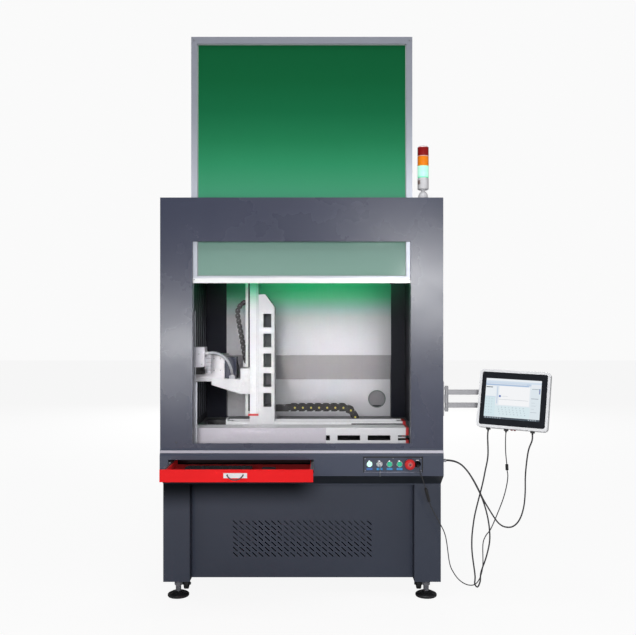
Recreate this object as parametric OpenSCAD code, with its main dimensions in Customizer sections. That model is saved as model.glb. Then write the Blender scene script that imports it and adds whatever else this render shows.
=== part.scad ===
/* [Cabinet] */
// Outer width of the cabinet
body_w = 1260; // [1060:10:1520]
// Outer depth of the cabinet
body_d = 1300; // [1100:10:1560]
// Height of the cabinet top above the floor
body_h = 1814; // [1760:2:2180]
// Clear height under the posts
leg_gap = 80; // [70:1:100]
// Thickness of the sheet metal
sheet_t = 3; // [2:0.5:4]
// Width of the corner posts
post_w = 120; // [100:5:140]
// Depth of the corner posts
post_d = 180; // [150:5:210]
// Wall of the corner posts
post_wall = 4; // [3:0.5:6]
// How far the posts stand back from the upper front
post_set_back = 72; // [40:1:90]
// Section of the welded frame rails
rail_s = 60; // [50:2:72]

/* [Belt] */
// Underside of the straight part of the belt
belt_z0 = 577; // [560:1:590]
// Top of the belt
belt_z1 = 697; // [690:1:710]
// How far the belt stands out from the upper front
belt_proud = 12; // [6:1:20]
// Height of the bevelled ledge on the belt
ledge_h = 31; // [20:1:40]
// Height of the chamfer under the belt
chamfer_h = 51; // [40:1:60]
// Thickness of the silver ledge trim
trim_t = 2; // [1:0.5:3]
// Width of the silver ledge trim
trim_w = 12; // [8:1:18]

/* [Chamber] */
// Top of the deck plate
deck_z = 690; // [685:1:694]
// Thickness of the deck plate
deck_t = 10; // [8:1:14]
// Distance from the outer side to the chamber wall
wall_gap = 41; // [35:1:50]
// Width of the front border beside the window
side_border = 144; // [125:1:170]
// Height of the window sill
sill_z = 720; // [712:1:730]
// Height of the window opening
win_h = 898; // [750:2:900]
// Depth of the front pillars
pillar_d = 50; // [44:1:70]
// Width of the left rear pillar
rear_left_w = 161; // [110:1:190]
// Width of the right rear pillar
rear_right_w = 125; // [110:1:170]
// Depth of the rear pillars
rear_pillar_d = 107; // [90:1:130]
// Diameter of the cable hole in the back panel
cable_hole_d = 98; // [60:2:118]

/* [Safety door] */
// Height of the door
door_h = 1100; // [920:5:1250]
// Thickness of the door frame
door_t = 26; // [20:1:30]
// Width of the door stiles
stile_w = 27; // [20:1:40]
// Height of the door rails
door_rail_h = 31; // [24:1:45]
// Thickness of the window pane
pane_t = 6; // [4:1:8]
// How far the door is raised
door_up = 722; // [600:2:722]

/* [Drawer] */
// Width of the drawer cavity
bay_w = 646; // [560:2:690]
// Height of the drawer cavity
bay_h = 59; // [54:1:62]
// Depth of the drawer bay
bay_d = 430; // [380:5:500]
// Distance from the left side to the drawer cavity
bay_x = 38; // [36:1:60]
// How far the drawer is pulled out
drawer_out = 210; // [100:5:240]
// Depth of the drawer tray
tray_d = 410; // [340:5:415]

/* [Control panel] */
// Width of the control cut-out
panel_w = 265; // [250:1:285]
// Height of the control cut-out
panel_h = 71; // [66:1:76]
// Distance from the right side to the control cut-out
panel_x = 92; // [80:1:120]
// Spacing of the controls
control_pitch = 44.5; // [40:0.5:46]
// Diameter of the button bezels
bezel_d = 29.5; // [28:0.5:32]
// Diameter of the button caps
cap_d = 22; // [20:0.5:23]

/* [Signal tower] */
// Diameter of the lenses
tower_d = 50; // [40:1:60]
// Height of the green lens, the tallest of the three
lens_h = 52; // [40:1:58]

/* [Gantry] */
// Length of the bed rails without their end caps
bed_len = 990; // [900:2:1010]
// Top of the bed rails above the deck
bed_h = 82; // [76:1:90]
// Width of the front bed rail
front_rail_w = 109; // [90:1:120]
// Width of the X module
x_module_w = 100; // [90:1:110]
// Length of the X servo motor
x_motor_len = 92; // [70:1:110]
// Length of the front cover
cover_len = 622; // [520:2:640]
// Place of the column along X
column_x = -173; // [-190:1:100]
// Width of the column
column_w = 76; // [70:1:90]
// Depth of the column
column_d = 130; // [110:2:150]
// Height of the column above its base
column_h = 580; // [560:5:640]
// Length of the Z module
z_module_len = 731; // [700:5:780]
// Place of the Z carriage above the bottom of the Z module
z_place = 94; // [90:1:300]

/* [Drag chains] */
// Pitch of the X chain
x_pitch = 40; // [36:1:44]
// Height of an X chain link
x_link_h = 36; // [32:1:38]
// Width of the X chain
x_link_w = 58; // [44:2:64]

/* [Monitor] */
// Width of the monitor
mon_w = 302; // [260:2:340]
// Height of the monitor
mon_h = 254; // [210:2:270]
// Thickness of the monitor
mon_t = 40; // [34:1:50]
// Distance from the hinge pin to the pan pin
arm_len = 321; // [280:1:340]
// Height of the arm
arm_z = 918; // [880:1:960]
// Turn of the monitor about the pan pin
mon_pan = -24; // [-30:1:0]
// Lean of the monitor about the tilt pin
mon_tilt = -14; // [-20:1:0]
// Roll of the monitor
mon_roll = 1.7; // [0:0.1:6]

/* [Feet and casters] */
// Diameter of the foot pads
pad_d = 98; // [80:2:104]
// Diameter of the foot studs
stud_d = 24; // [18:1:26]
// Diameter of the caster wheels
wheel_d = 50; // [44:1:52]
// Width of the caster wheels
wheel_w = 22; // [18:1:26]

/* [Fits] */
// Radial clearance of running pins
pin_gap = 0.1; // [0.05:0.01:0.1]
// Clearance between pieces that slide
slide_gap = 0.5; // [0.3:0.1:0.8]
// Clearance between pieces that rest on each other
seat_gap = 0.3; // [0.1:0.1:0.5]

/* [Hidden] */
$fn = 48;

// The part's origin, measured from the centre of the cabinet's plan
origin = [229, -119];

// Planes of the cabinet
hw = body_w / 2;
front_y = -body_d / 2;
rear_y = body_d / 2;
post_y = front_y + post_set_back;
recess_y = front_y + 2 * post_set_back;
belt_y = front_y - belt_proud;
chamber_x = hw - wall_gap;
win_x = hw - side_border;
base_top = deck_z - deck_t - 98;
top_z = body_h - sheet_t;
sill_top = sill_z + win_h;
chamber_front = front_y + pillar_d;
chamber_rear = rear_y - sheet_t - rear_pillar_d;
rear_x0 = -hw + rear_left_w;
rear_x1 = hw - rear_right_w;

// Sliding door
door_over = 8;
door_w = 2 * (win_x + door_over);
door_y0 = front_y + sheet_t + 12;
guide_wall = 3;
guide_in = door_over + slide_gap + guide_wall;
guide_y = [door_y0 - slide_gap - guide_wall, door_y0 + door_t + slide_gap + guide_wall];
door_low = sill_z - door_over;
door_z = door_low + door_up;

// Drawer
bay_x0 = -hw + bay_x;
bay_x1 = bay_x0 + bay_w;
bay_z0 = belt_z0 + 13;
bay_z1 = bay_z0 + bay_h;
slide_w = 13;
slide_h = 35;
slide_z = bay_z0 + 12;
tray_x0 = bay_x0 + slide_w;
tray_x1 = bay_x1 - slide_w;
drawer_y = belt_y - drawer_out;
tray_z = slide_z - 4;

// Control panel
panel_x1 = hw - panel_x;
panel_x0 = panel_x1 - panel_w;
panel_z0 = belt_z0 + 15;
plate_y = belt_y + sheet_t;
control_x = concat([for (i = [0:4]) panel_x0 + 28 + i * control_pitch], [panel_x1 - 24]);
control_z = panel_z0 + 38;
pocket_d = cap_d + 2 * slide_gap;

// Gantry
bed_z = deck_z + bed_h;
bed_y = front_y + 129;
profile_h = 24;
block_h = 23;
block_w = 35;
block_pitch = 139.3;
block_in = 53.7;
cap_len = 14;
bed_x1 = win_x - 9;
bed_x0 = bed_x1 - bed_len;
profile_w = 60;
module_y = bed_y + front_rail_w + 27;
module_top = bed_z + 12;
module_x0 = bed_x0 + 150;
trough_in = 8;
trough_h = 22;
base_h = 38;
column_y = front_y + 259;
column_z = bed_z + base_h;
z_mod_w = 42;
z_mod_x = column_x - column_w / 2 - z_mod_w;
z_cap_h = 11;
z_mod_z = column_z + z_cap_h;
carriage_z = z_mod_z + z_place;
carriage_h = 122;
shelf_z = carriage_z + 60;
shelf_t = 12;
shelf_top = shelf_z + shelf_t;
plate_x = z_mod_x - slide_gap;

// Monitor arm
hinge_x = hw + 16;
hinge_y = front_y + 10;
bar_h = 22;
bar_t = 10;
bar_gap = 36;
bar_low = arm_z - bar_gap / 2 - bar_h;
bar_high = arm_z + bar_gap / 2;
pan_x = hinge_x + arm_len;
tilt_back = 64;
pin_r = 4;

// Folded sheets: a path thickened to one side
function unit(v) = v / norm(v);
function left_of(v) = [-v[1], v[0]];
function mitre(p, i, t) =
    let (a = i > 0 ? unit(p[i] - p[i - 1]) : unit(p[1] - p[0]),
         b = i < len(p) - 1 ? unit(p[i + 1] - p[i]) : a,
         m = left_of(a) + left_of(b))
    p[i] + m * (2 * t / (m * m));
function fold(p, t) = concat(p, [for (i = [len(p) - 1:-1:0]) mitre(p, i, t)]);

// Rings of a round tube, each carried on from the last without twist
function heading(p, i) = unit(p[min(i + 1, len(p) - 1)] - p[max(i - 1, 0)]);
function rings(p, r, n, i = 0, u = [0, 0.1, 1]) = i == len(p) ? []
    : let (t = heading(p, i), w = unit(u - t * (u * t)), v = cross(t, w))
      concat([for (k = [0:n - 1]) p[i] + r * (cos(360 * k / n) * w + sin(360 * k / n) * v)],
             rings(p, r, n, i + 1, w));
module tube_along(p, d, n) {
    last = (len(p) - 1) * n;
    polyhedron(points = rings(p, d / 2, n), faces = concat(
        [[for (k = [0:n - 1]) k]], [[for (k = [n - 1:-1:0]) last + k]],
        [for (i = [0:len(p) - 2], k = [0:n - 1]) [i * n + k, i * n + n + k, i * n + (k + 1) % n]],
        [for (i = [0:len(p) - 2], k = [0:n - 1])
            [i * n + n + k, i * n + n + (k + 1) % n, i * n + (k + 1) % n]]));
}

module home() translate([-origin[0], -origin[1], 0]) children();
module span(x, y, z) translate([x[0], y[0], z[0]]) cube([x[1] - x[0], y[1] - y[0], z[1] - z[0]]);
module mirrored() {
    children();
    mirror([1, 0, 0]) children();
}
// A profile in Y and Z drawn out along X
module along_x(x0, x1) translate([x0, 0, 0]) rotate([90, 0, 90]) linear_extrude(x1 - x0) children();
// A profile in X and Z drawn out along Y
module along_y(y0, y1) translate([0, y1, 0]) rotate([90, 0, 0]) linear_extrude(y1 - y0) children();
module along_z(z0, z1) translate([0, 0, z0]) linear_extrude(z1 - z0) children();
module rect(x, y) translate([x[0], y[0]]) square([x[1] - x[0], y[1] - y[0]]);
module rounded(w, h, r) {
    square([w - 2 * r, h], center = true);
    square([w, h - 2 * r], center = true);
    for (x = [-1, 1], y = [-1, 1]) translate([x * (w / 2 - r), y * (h / 2 - r)]) circle(r);
}
// Square tube between two corners, open along one axis
module tube_x(x, y, z, t) difference() {
    span(x, y, z);
    span([x[0] - 1, x[1] + 1], [y[0] + t, y[1] - t], [z[0] + t, z[1] - t]);
}
module tube_y(x, y, z, t) difference() {
    span(x, y, z);
    span([x[0] + t, x[1] - t], [y[0] - 1, y[1] + 1], [z[0] + t, z[1] - t]);
}
module tube_z(x, y, z, t) difference() {
    span(x, y, z);
    span([x[0] + t, x[1] - t], [y[0] + t, y[1] - t], [z[0] - 1, z[1] + 1]);
}

// ---- Base ----
foot_in = [60, 55];
caster_in = [84, 138];
lower_rail_z = 120;
lower_rail_s = 40;
lower_z = [lower_rail_z, lower_rail_z + lower_rail_s];
panel_in = 12;
upright_w = 32;
upright_in = 80;
function foot_x() = hw - foot_in[0];
function foot_y(s) = s < 0 ? post_y + foot_in[1] : rear_y - foot_in[1];
function caster_x() = hw - caster_in[0];
function caster_y(s) = s < 0 ? post_y + caster_in[1] : rear_y - caster_in[1];

module post(s) {
    y0 = s < 0 ? post_y : rear_y - post_d;
    difference() {
        span([hw - post_w, hw], [y0, y0 + post_d], [leg_gap, base_top]);
        span([hw - post_w + post_wall, hw - post_wall], [y0 + post_wall, y0 + post_d - post_wall],
             [leg_gap + 6, base_top - post_wall]);
        translate([foot_x(), foot_y(s), leg_gap - 1]) cylinder(d = stud_d + 2 * slide_gap, h = 8);
    }
    difference() {
        translate([foot_x(), foot_y(s), leg_gap + 5]) cylinder(d = stud_d + 12, h = 31);
        translate([foot_x(), foot_y(s), leg_gap]) cylinder(d = stud_d + 2 * slide_gap, h = 40);
    }
}

module base_frame() color("#3e4452") home() {
    in_x = hw - post_w + 1;
    y0 = post_y + post_d - 1;
    y1 = rear_y - post_d + 1;
    rail_z = [base_top - rail_s, base_top];
    mirrored() {
        post(-1);
        post(1);
        // Uprights to the deck
        for (y = [rear_y - post_d, post_y])
            tube_z([y < 0 ? hw - upright_w : hw - post_w, hw - sheet_t],
                   [max(y, front_y + upright_in), y + post_d - sheet_t], [base_top - 1, deck_z - deck_t],
                   post_wall);
        tube_y([hw - rail_s - panel_in, hw - panel_in], [y0, y1], rail_z, post_wall);
        tube_y([hw - lower_rail_s - panel_in, hw - panel_in], [y0, y1], lower_z, sheet_t);
    }
    tube_x([-in_x, in_x], [post_y, post_y + rail_s], rail_z, post_wall);
    tube_x([-in_x, in_x], [rear_y - rail_s - panel_in, rear_y - panel_in], rail_z, post_wall);
    for (y = [recess_y + sheet_t, rear_y - panel_in - lower_rail_s])
        tube_x([-in_x, in_x], [y, y + lower_rail_s], lower_z, sheet_t);
    // Floor pan that carries the electronics
    span([-hw + post_w + 1, hw - post_w - 1], [recess_y + sheet_t, rear_y - panel_in],
         [lower_z[1], lower_z[1] + sheet_t]);
}

// ---- Levelling feet and casters ----
module levelling_foot(sx, sy) color("#26282a") home() {
    translate([sx * foot_x(), foot_y(sy), 0]) {
        rotate_extrude() polygon([
            [0, 0], [pad_d / 2 - 2, 0], [pad_d / 2, 3], [pad_d / 2, 9], [pad_d / 2 - 3, 12],
            [22, 18], [17, 22], [stud_d / 2, 22], [stud_d / 2, leg_gap + 34], [0, leg_gap + 34]]);
        // Lock nut and adjusting nut
        for (z = [leg_gap - 12, leg_gap - 30])
            translate([0, 0, z]) cylinder(d = stud_d + 12, h = 12, $fn = 6);
        // Ribs moulded on the pad
        for (a = [0:45:315]) rotate(a) along_y(-1.5, 1.5)
            polygon([[8, 10], [pad_d / 2 - 5, 10], [pad_d / 2 - 5, 13.5], [20, 24], [8, 24]]);
    }
}

axle_z = wheel_d / 2 + 4;
fork_t = 3;
fork_in = wheel_w / 2 + 1;
axle_d = 8;
module caster_brackets() color("#222326") home() {
    for (sx = [-1, 1], sy = [-1, 1]) translate([sx * caster_x(), caster_y(sy), 0]) {
        span([-22, 22], [-24, 24], [leg_gap - 5, leg_gap]);
        for (s = [-1, 1]) {
            x0 = s < 0 ? -fork_in - fork_t : fork_in;
            along_x(x0, x0 + fork_t) {
                translate([0, axle_z]) circle(9);
                polygon([[-9, axle_z], [9, axle_z], [20, leg_gap - 4], [-20, leg_gap - 4]]);
            }
        }
        translate([-fork_in - fork_t - 5, 0, axle_z]) rotate([0, 90, 0])
            cylinder(d = axle_d, h = 2 * (fork_in + fork_t + 5));
        for (s = [-1, 1]) translate([s * (fork_in + fork_t + 2.5), 0, axle_z]) rotate([0, 90, 0])
            cylinder(d = 13, h = 5, center = true, $fn = 6);
    }
}

module caster_wheel(sx, sy) color("#2c2c2e") home() {
    translate([sx * caster_x(), caster_y(sy), axle_z]) rotate([0, 90, 0]) rotate_extrude()
        for (s = [-1, 1]) polygon([
            [axle_d / 2 + pin_gap, 0], [axle_d / 2 + pin_gap, s * wheel_w / 2], [9, s * wheel_w / 2],
            [10, s * (wheel_w / 2 - 3)], [wheel_d / 2 - 6, s * (wheel_w / 2 - 3)],
            [wheel_d / 2 - 4, s * wheel_w / 2], [wheel_d / 2 - 1, s * (wheel_w / 2 - 1)],
            [wheel_d / 2, s * (wheel_w / 2 - 4)], [wheel_d / 2, 0]]);
}

// ---- Lower panels ----
slot_cols = 22;
slot_rows = 7;
slot_pitch = [29.5, 24.5];
slot_len = 29;
slot_w = 4.6;
slot_angle = -42;
vent_z = 257;
module slot() rotate(slot_angle) {
    square([slot_len - slot_w, slot_w], center = true);
    for (s = [-1, 1]) translate([s * (slot_len - slot_w) / 2, 0]) circle(slot_w / 2);
}
module lower_front_panel() color("#3e4452") home() {
    px = hw - post_w;
    along_y(recess_y, recess_y + sheet_t) difference() {
        rect([-px, px], [leg_gap - 2, base_top - 4]);
        for (c = [0:slot_cols - 1], r = [0:slot_rows - 1])
            translate([(c - (slot_cols - 1) / 2) * slot_pitch[0],
                       vent_z + (r - (slot_rows - 1) / 2) * slot_pitch[1]]) slot();
    }
    // Bottom hem and the top flange that bolts to the front rail
    along_x(-px, px) polygon(fold([[recess_y + sheet_t - 0.5, leg_gap - 2], [recess_y + 22, leg_gap - 2],
                                   [recess_y + 22, leg_gap + 12]], sheet_t));
    span([-px, px], [post_y + rail_s, recess_y + 1], [base_top - 4 - sheet_t, base_top - 4]);
}

module outer_panels() color("#4a4f5c") home() {
    mirrored() {
        span([hw - panel_in, hw - panel_in + sheet_t], [post_y + post_d, rear_y - post_d],
             [leg_gap, base_top]);
        span([hw - sheet_t, hw], [front_y + sheet_t, rear_y - sheet_t], [belt_z1, top_z]);
    }
    px = hw - post_w;
    span([-px, px], [rear_y - panel_in, rear_y - panel_in + sheet_t], [leg_gap, base_top]);
    span([-hw + sheet_t, hw - sheet_t], [rear_y - sheet_t, rear_y], [belt_z1, top_z]);
}

// ---- Belt ----
belt_path = [[front_y + sheet_t, belt_z1], [front_y, belt_z1], [belt_y, belt_z1 - ledge_h], [belt_y, belt_z0],
             [post_y - 1, belt_z0 - chamfer_h], [post_y - 1, base_top - 1]];
module belt_shell() color("#454b5b") home() {
    difference() {
        union() {
            along_x(-hw, hw) polygon(fold(belt_path, sheet_t));
            // Cheeks close the ends of the folded front
            mirrored() along_x(hw - sheet_t, hw) polygon(belt_path);
        }
        span([bay_x0, bay_x1], [belt_y - 1, belt_y + sheet_t + 1], [bay_z0, bay_z1]);
        span([panel_x0, panel_x1], [belt_y - 1, belt_y + sheet_t + 1], [panel_z0, panel_z0 + panel_h]);
        // Cable outlet for the gland on the right side
        gland(2 * slide_gap, -10, 10);
    }
    mirrored() difference() {
        span([hw - sheet_t, hw], [front_y + 9, rear_y], [base_top, belt_z1]);
        gland(2 * slide_gap, -10, 10);
    }
    span([-hw + 1, hw - 1], [rear_y - sheet_t, rear_y], [base_top, belt_z1]);
    // Drawer bay hung under the deck
    difference() {
        along_y(belt_y + sheet_t - 0.5, belt_y + bay_d)
            polygon(fold([[bay_x0, deck_z - deck_t], [bay_x0, bay_z0 - 1], [bay_x1, bay_z0 - 1],
                          [bay_x1, deck_z - deck_t]], -sheet_t));
        span([bay_x0 - 9, bay_x1 + 9], [belt_y - 1, front_y + 9], [bay_z1 + 6, deck_z]);
    }
}

trim_drop = 9;
module ledge_trim() color("#c9ccd2") home() along_x(-hw, hw) {
    slope = unit([-belt_proud, -ledge_h]);
    top = [front_y - 0.05, belt_z1] + slope * trim_drop;
    polygon(fold([top, top + slope * trim_w], -trim_t));
}

module deck_plate() color("#8d9097") home()
    span([-hw + sheet_t, hw - sheet_t], [front_y + sheet_t, rear_y - sheet_t], [deck_z - deck_t, deck_z]);

// ---- Upper cabinet ----
upper_rail = 38;
module upper_frame() color("#2b2e36") home() {
    out_x = hw - sheet_t;
    mirrored() {
        // Front pillar with the seat of the door guide
        along_z(deck_z, top_z) difference() {
            rect([win_x, out_x], [front_y + sheet_t, chamber_front]);
            rect([win_x - 1, win_x + guide_in + seat_gap], [guide_y[0] - seat_gap, guide_y[1] + seat_gap]);
            rect([win_x + guide_in + seat_gap + sheet_t, out_x - sheet_t],
                 [front_y + 2 * sheet_t, chamber_front - sheet_t]);
        }
        // Chamber wall and the rails that hold it
        span([chamber_x - sheet_t, chamber_x], [chamber_front - 1, chamber_rear + 1], [deck_z, top_z]);
        for (z = [deck_z, top_z - rail_s])
            tube_y([chamber_x - 1, out_x], [chamber_front - 1, chamber_rear + 1], [z, z + rail_s], sheet_t);
    }
    for (x = [[-out_x, rear_x0], [rear_x1, out_x]])
        tube_z(x, [chamber_rear, rear_y - sheet_t], [deck_z, top_z], sheet_t);
    tube_x([-chamber_x, chamber_x], [chamber_front - 1, chamber_front + upper_rail], [top_z - rail_s, top_z],
           sheet_t);
    for (z = [deck_z, top_z - rail_s])
        tube_x([rear_x0 - 1, rear_x1 + 1], [rear_y - sheet_t - upper_rail, rear_y - sheet_t],
               [z, z + rail_s], sheet_t);
}

module upper_front_panel() color("#4d525e") home() along_y(front_y, front_y + sheet_t) difference() {
    rect([-hw, hw], [belt_z1, top_z]);
    rect([-win_x, win_x], [sill_z, sill_top]);
    for (s = [-1, 1]) translate([s * (hw - 71), sill_z + 4]) circle(d = 9);
}

slot_half = win_x + guide_in;
module top_plate() color("#4d525e") home() along_z(top_z, body_h) difference() {
    rect([-hw, hw], [front_y, rear_y]);
    rect([-slot_half, slot_half], guide_y);
}

back_y = chamber_rear + 8;
back_step = 48;
band_z = [deck_z + 220, deck_z + 367];
module chamber_back() color("#c3c2c8") home() difference() {
    along_x(rear_x0, rear_x1)
        polygon(fold([[back_y, top_z], [back_y, band_z[1]], [back_y + back_step, band_z[0]],
                      [back_y + back_step, deck_z]], sheet_t));
    translate([425 * hw / 630, back_y + back_step, deck_z + 103]) rotate([90, 0, 0])
        cylinder(d = cable_hole_d, h = 30, center = true);
}

// ---- Door ----
module door_guides() color("#b9bcc4") home() mirrored() {
    along_z(deck_z, top_z) difference() {
        rect([win_x, win_x + guide_in], guide_y);
        rect([win_x - 1, win_x + guide_in - guide_wall], [guide_y[0] + guide_wall, guide_y[1] - guide_wall]);
    }
    // Lift cylinder inside the pillar
    translate([hw - 60, front_y + pillar_d / 2 + 1, 0]) {
        translate([0, 0, deck_z + 20]) cylinder(d = 32, h = top_z - deck_z - 40);
        for (z = [deck_z, top_z - 24]) span([-19, 19], [-19, 19], [z, z + 24]);
    }
}

groove_d = 8;
module door_frame() color("#b4b6be") home() difference() {
    span([-door_w / 2, door_w / 2], [door_y0, door_y0 + door_t], [door_z, door_z + door_h]);
    span([-door_w / 2 + stile_w, door_w / 2 - stile_w], [door_y0 - 1, door_y0 + door_t + 1],
         [door_z + door_rail_h, door_z + door_h - door_rail_h]);
    // Groove that holds the pane
    span([-door_w / 2 + stile_w - groove_d, door_w / 2 - stile_w + groove_d],
         [door_y0 + (door_t - pane_t) / 2 - seat_gap, door_y0 + (door_t + pane_t) / 2 + seat_gap],
         [door_z + door_rail_h - groove_d, door_z + door_h - door_rail_h + groove_d]);
    // Long channels of the extruded stiles, open to the guides
    for (s = [-1, 1]) translate([s * door_w / 2, door_y0 + door_t / 2, door_z - 1])
        along_z(0, door_h + 2) square([12, 8], center = true);
}
module door_window() color([0.1, 0.5, 0.3, 0.7]) home()
    span([-door_w / 2 + stile_w - groove_d + seat_gap, door_w / 2 - stile_w + groove_d - seat_gap],
         [door_y0 + (door_t - pane_t) / 2, door_y0 + (door_t + pane_t) / 2],
         [door_z + door_rail_h - groove_d + seat_gap, door_z + door_h - door_rail_h + groove_d - seat_gap]);

// ---- Drawer ----
lip = 1.5;
module drawer_slides() color("#a8abb2") home() for (s = [0, 1]) {
    x = s == 0 ? bay_x0 : bay_x1;
    d = s == 0 ? 1 : -1;
    along_y(belt_y + 6, belt_y + bay_d - 15)
        polygon(fold([[x + d * (slide_w - 3), slide_z], [x, slide_z], [x, slide_z + slide_h],
                      [x + d * (slide_w - 3), slide_z + slide_h]], -d * lip));
}
module drawer_runners() color("#bfc2c8") home() for (s = [0, 1]) {
    x = s == 0 ? tray_x0 : tray_x1;
    d = s == 0 ? -1 : 1;
    z0 = slide_z + lip + slide_gap;
    z1 = slide_z + slide_h - lip - slide_gap;
    along_y(drawer_y + sheet_t, drawer_y + sheet_t + tray_d)
        polygon(fold([[x + d * (slide_w - 4), z0], [x, z0], [x, z1], [x + d * (slide_w - 4), z1]], -d * lip));
}
front_gap = 2;
tray_h = 30;
module drawer_tray() color("#d8262c") home() {
    y0 = drawer_y + sheet_t;
    along_y(drawer_y, y0)
        rect([bay_x0 + front_gap, bay_x1 - front_gap], [bay_z0 + front_gap, bay_z1 - 2 * front_gap]);
    along_y(y0 - 0.5, y0 + tray_d)
        polygon(fold([[tray_x0, tray_z + tray_h], [tray_x0, tray_z], [tray_x1, tray_z],
                      [tray_x1, tray_z + tray_h]], sheet_t));
    span([tray_x0, tray_x1], [y0 + tray_d - sheet_t, y0 + tray_d], [tray_z, tray_z + tray_h]);
}
handle_x = bay_x0 + bay_w / 2 - 4;
bow_w = 66;
bow_half = 65;
bow_r = bow_w / 2 / sin(bow_half);
bow_lean = 56;
module drawer_handle() color("#e2e4e6") home() translate([handle_x, drawer_y, bay_z0 + 30]) {
    along_y(-2, 0) square([99, 21], center = true);
    // Bow: a bent bar that hangs forward from two lugs
    for (s = [-1, 1]) translate([s * bow_w / 2, -7, 3]) rotate([90, 0, 0])
        cylinder(d = 6, h = 12, center = true);
    translate([0, -10, 3]) rotate([bow_lean, 0, 0]) translate([0, bow_r * cos(bow_half), 0])
        rotate(270 - bow_half) rotate_extrude(angle = 2 * bow_half)
            translate([bow_r, 0]) circle(d = 5, $fn = 16);
}
module keyboard() color("#1c1c1e") home() translate([tray_x0 + 74, drawer_y + 48, tray_z + sheet_t]) {
    // Wedge that rises to the back
    along_x(0, 290) polygon([[0, 0], [120, 0], [120, 26], [116, 28], [4, 11], [0, 9]]);
    for (r = [0:4], k = [0:13]) translate([8 + k * 19.8, 8 + r * 21.6, 10.5 + r * 3.3])
        rotate([8.6, 0, 0]) cube([17, 18, 5]);
}
module mouse() color("#1c1c1e") home() translate([tray_x0 + 438, drawer_y + 126, tray_z + sheet_t])
    intersection() {
        along_z(0, 32) rounded(58, 105, 27);
        // Arched back
        translate([0, 0, -78]) rotate([0, 90, 0]) cylinder(r = 108, h = 80, center = true);
        translate([0, 0, -38]) rotate([90, 0, 0]) cylinder(r = 70, h = 120, center = true);
    }

// ---- Controls ----
module control_plate() color("#4a4f5c") home() along_y(plate_y, plate_y + sheet_t) difference() {
    rect([panel_x0 - 3, panel_x1 + 3], [panel_z0 - 3, panel_z0 + panel_h + 1.5]);
    for (x = control_x) translate([x, control_z]) circle(d = pocket_d + 3 + 2 * seat_gap);
}
module switch_bodies() color("#c8cacd") home() for (i = [0:5]) translate([control_x[i], 0, control_z]) {
    rotate([90, 0, 0]) translate([0, 0, -plate_y]) rotate_extrude() polygon([
        [pocket_d / 2, 5], [pocket_d / 2 + 1, 5], [bezel_d / 2 - 1.5, 4.5], [bezel_d / 2, 3],
        [bezel_d / 2, 0],
        [pocket_d / 2 + 1.5, 0], [pocket_d / 2 + 1.5, -14], [0, -14], [0, -9.5], [pocket_d / 2, -9.5]]);
    span([-14, 14], [plate_y + 13, plate_y + 40], [-14, 14]);
}
module cap(i) translate([control_x[i], plate_y, control_z]) rotate([90, 0, 0]) children();
module push_button(i) home() cap(i) {
    translate([0, 0, -5]) cylinder(d = cap_d, h = 11);
    translate([0, 0, 6]) cylinder(d = cap_d - 2, h = 1);
}
module key_switch() color("#c8c9cc") home() cap(1) {
    translate([0, 0, -5]) cylinder(d = cap_d, h = 11);
    // Key blade and bow with its ring hole
    span([-1.2, 1.2], [-4, 4], [5, 14]);
    difference() {
        translate([-1.2, 0, 14]) rotate([90, 0, 90]) linear_extrude(2.4) translate([0, 9]) rounded(22, 20, 6);
        translate([0, 0, 14 + 14]) rotate([0, 90, 0]) cylinder(d = 6, h = 8, center = true);
    }
}
module estop_head() color("#c92427") home() cap(4) rotate_extrude() polygon([
    [0, -5], [cap_d / 2, -5], [cap_d / 2, 9], [21, 9.5], [23.3, 12], [23.3, 18], [21.5, 22], [16, 24.5],
    [0, 25.5]]);

// ---- Signal tower ----
tower_x = hw - 83.5;
tower_y = front_y + 50;
tower_body = 91;
tower_rim = 4;
green_z = body_h + tower_body + tower_rim;
orange_z = green_z + lens_h;
orange_h = lens_h - 8;
red_z = orange_z + orange_h;
red_h = lens_h - 12;
lens_groove = 3;
module tower(z) home() translate([tower_x, tower_y, z]) rotate_extrude() children();
module tower_base() color("#d0d1d3") tower(body_h) polygon([
    [0, 0], [22, 0], [22.5, 8], [20, 20], [16, 28], [9, 33], [9, 40], [20, 41], [tower_d / 2, 45],
    [tower_d / 2, tower_body], [tower_d / 2 - 2, tower_body + tower_rim], [0, tower_body + tower_rim]]);
// A lens stands in a groove; its shoulder carries the next one
function lens(h) = [
    [0, 0], [tower_d / 2 - lens_groove, 0], [tower_d / 2 - lens_groove, lens_groove],
    [tower_d / 2, lens_groove], [tower_d / 2, h]];
module tower_green() color("#9ff2c8") tower(green_z) polygon(concat(lens(lens_h), [[0, lens_h]]));
module tower_orange() color("#e07a1c") tower(orange_z) polygon(concat(lens(orange_h), [[0, orange_h]]));
// The red lens ends in a clear dome
module tower_red() color("#b01a1e") tower(red_z) polygon(concat(lens(red_h), [
    [tower_d / 2 - 2, red_h + 4], [tower_d / 2 - 7, red_h + 7], [tower_d / 2 - 14, red_h + 9],
    [0, red_h + 10]]));

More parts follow.
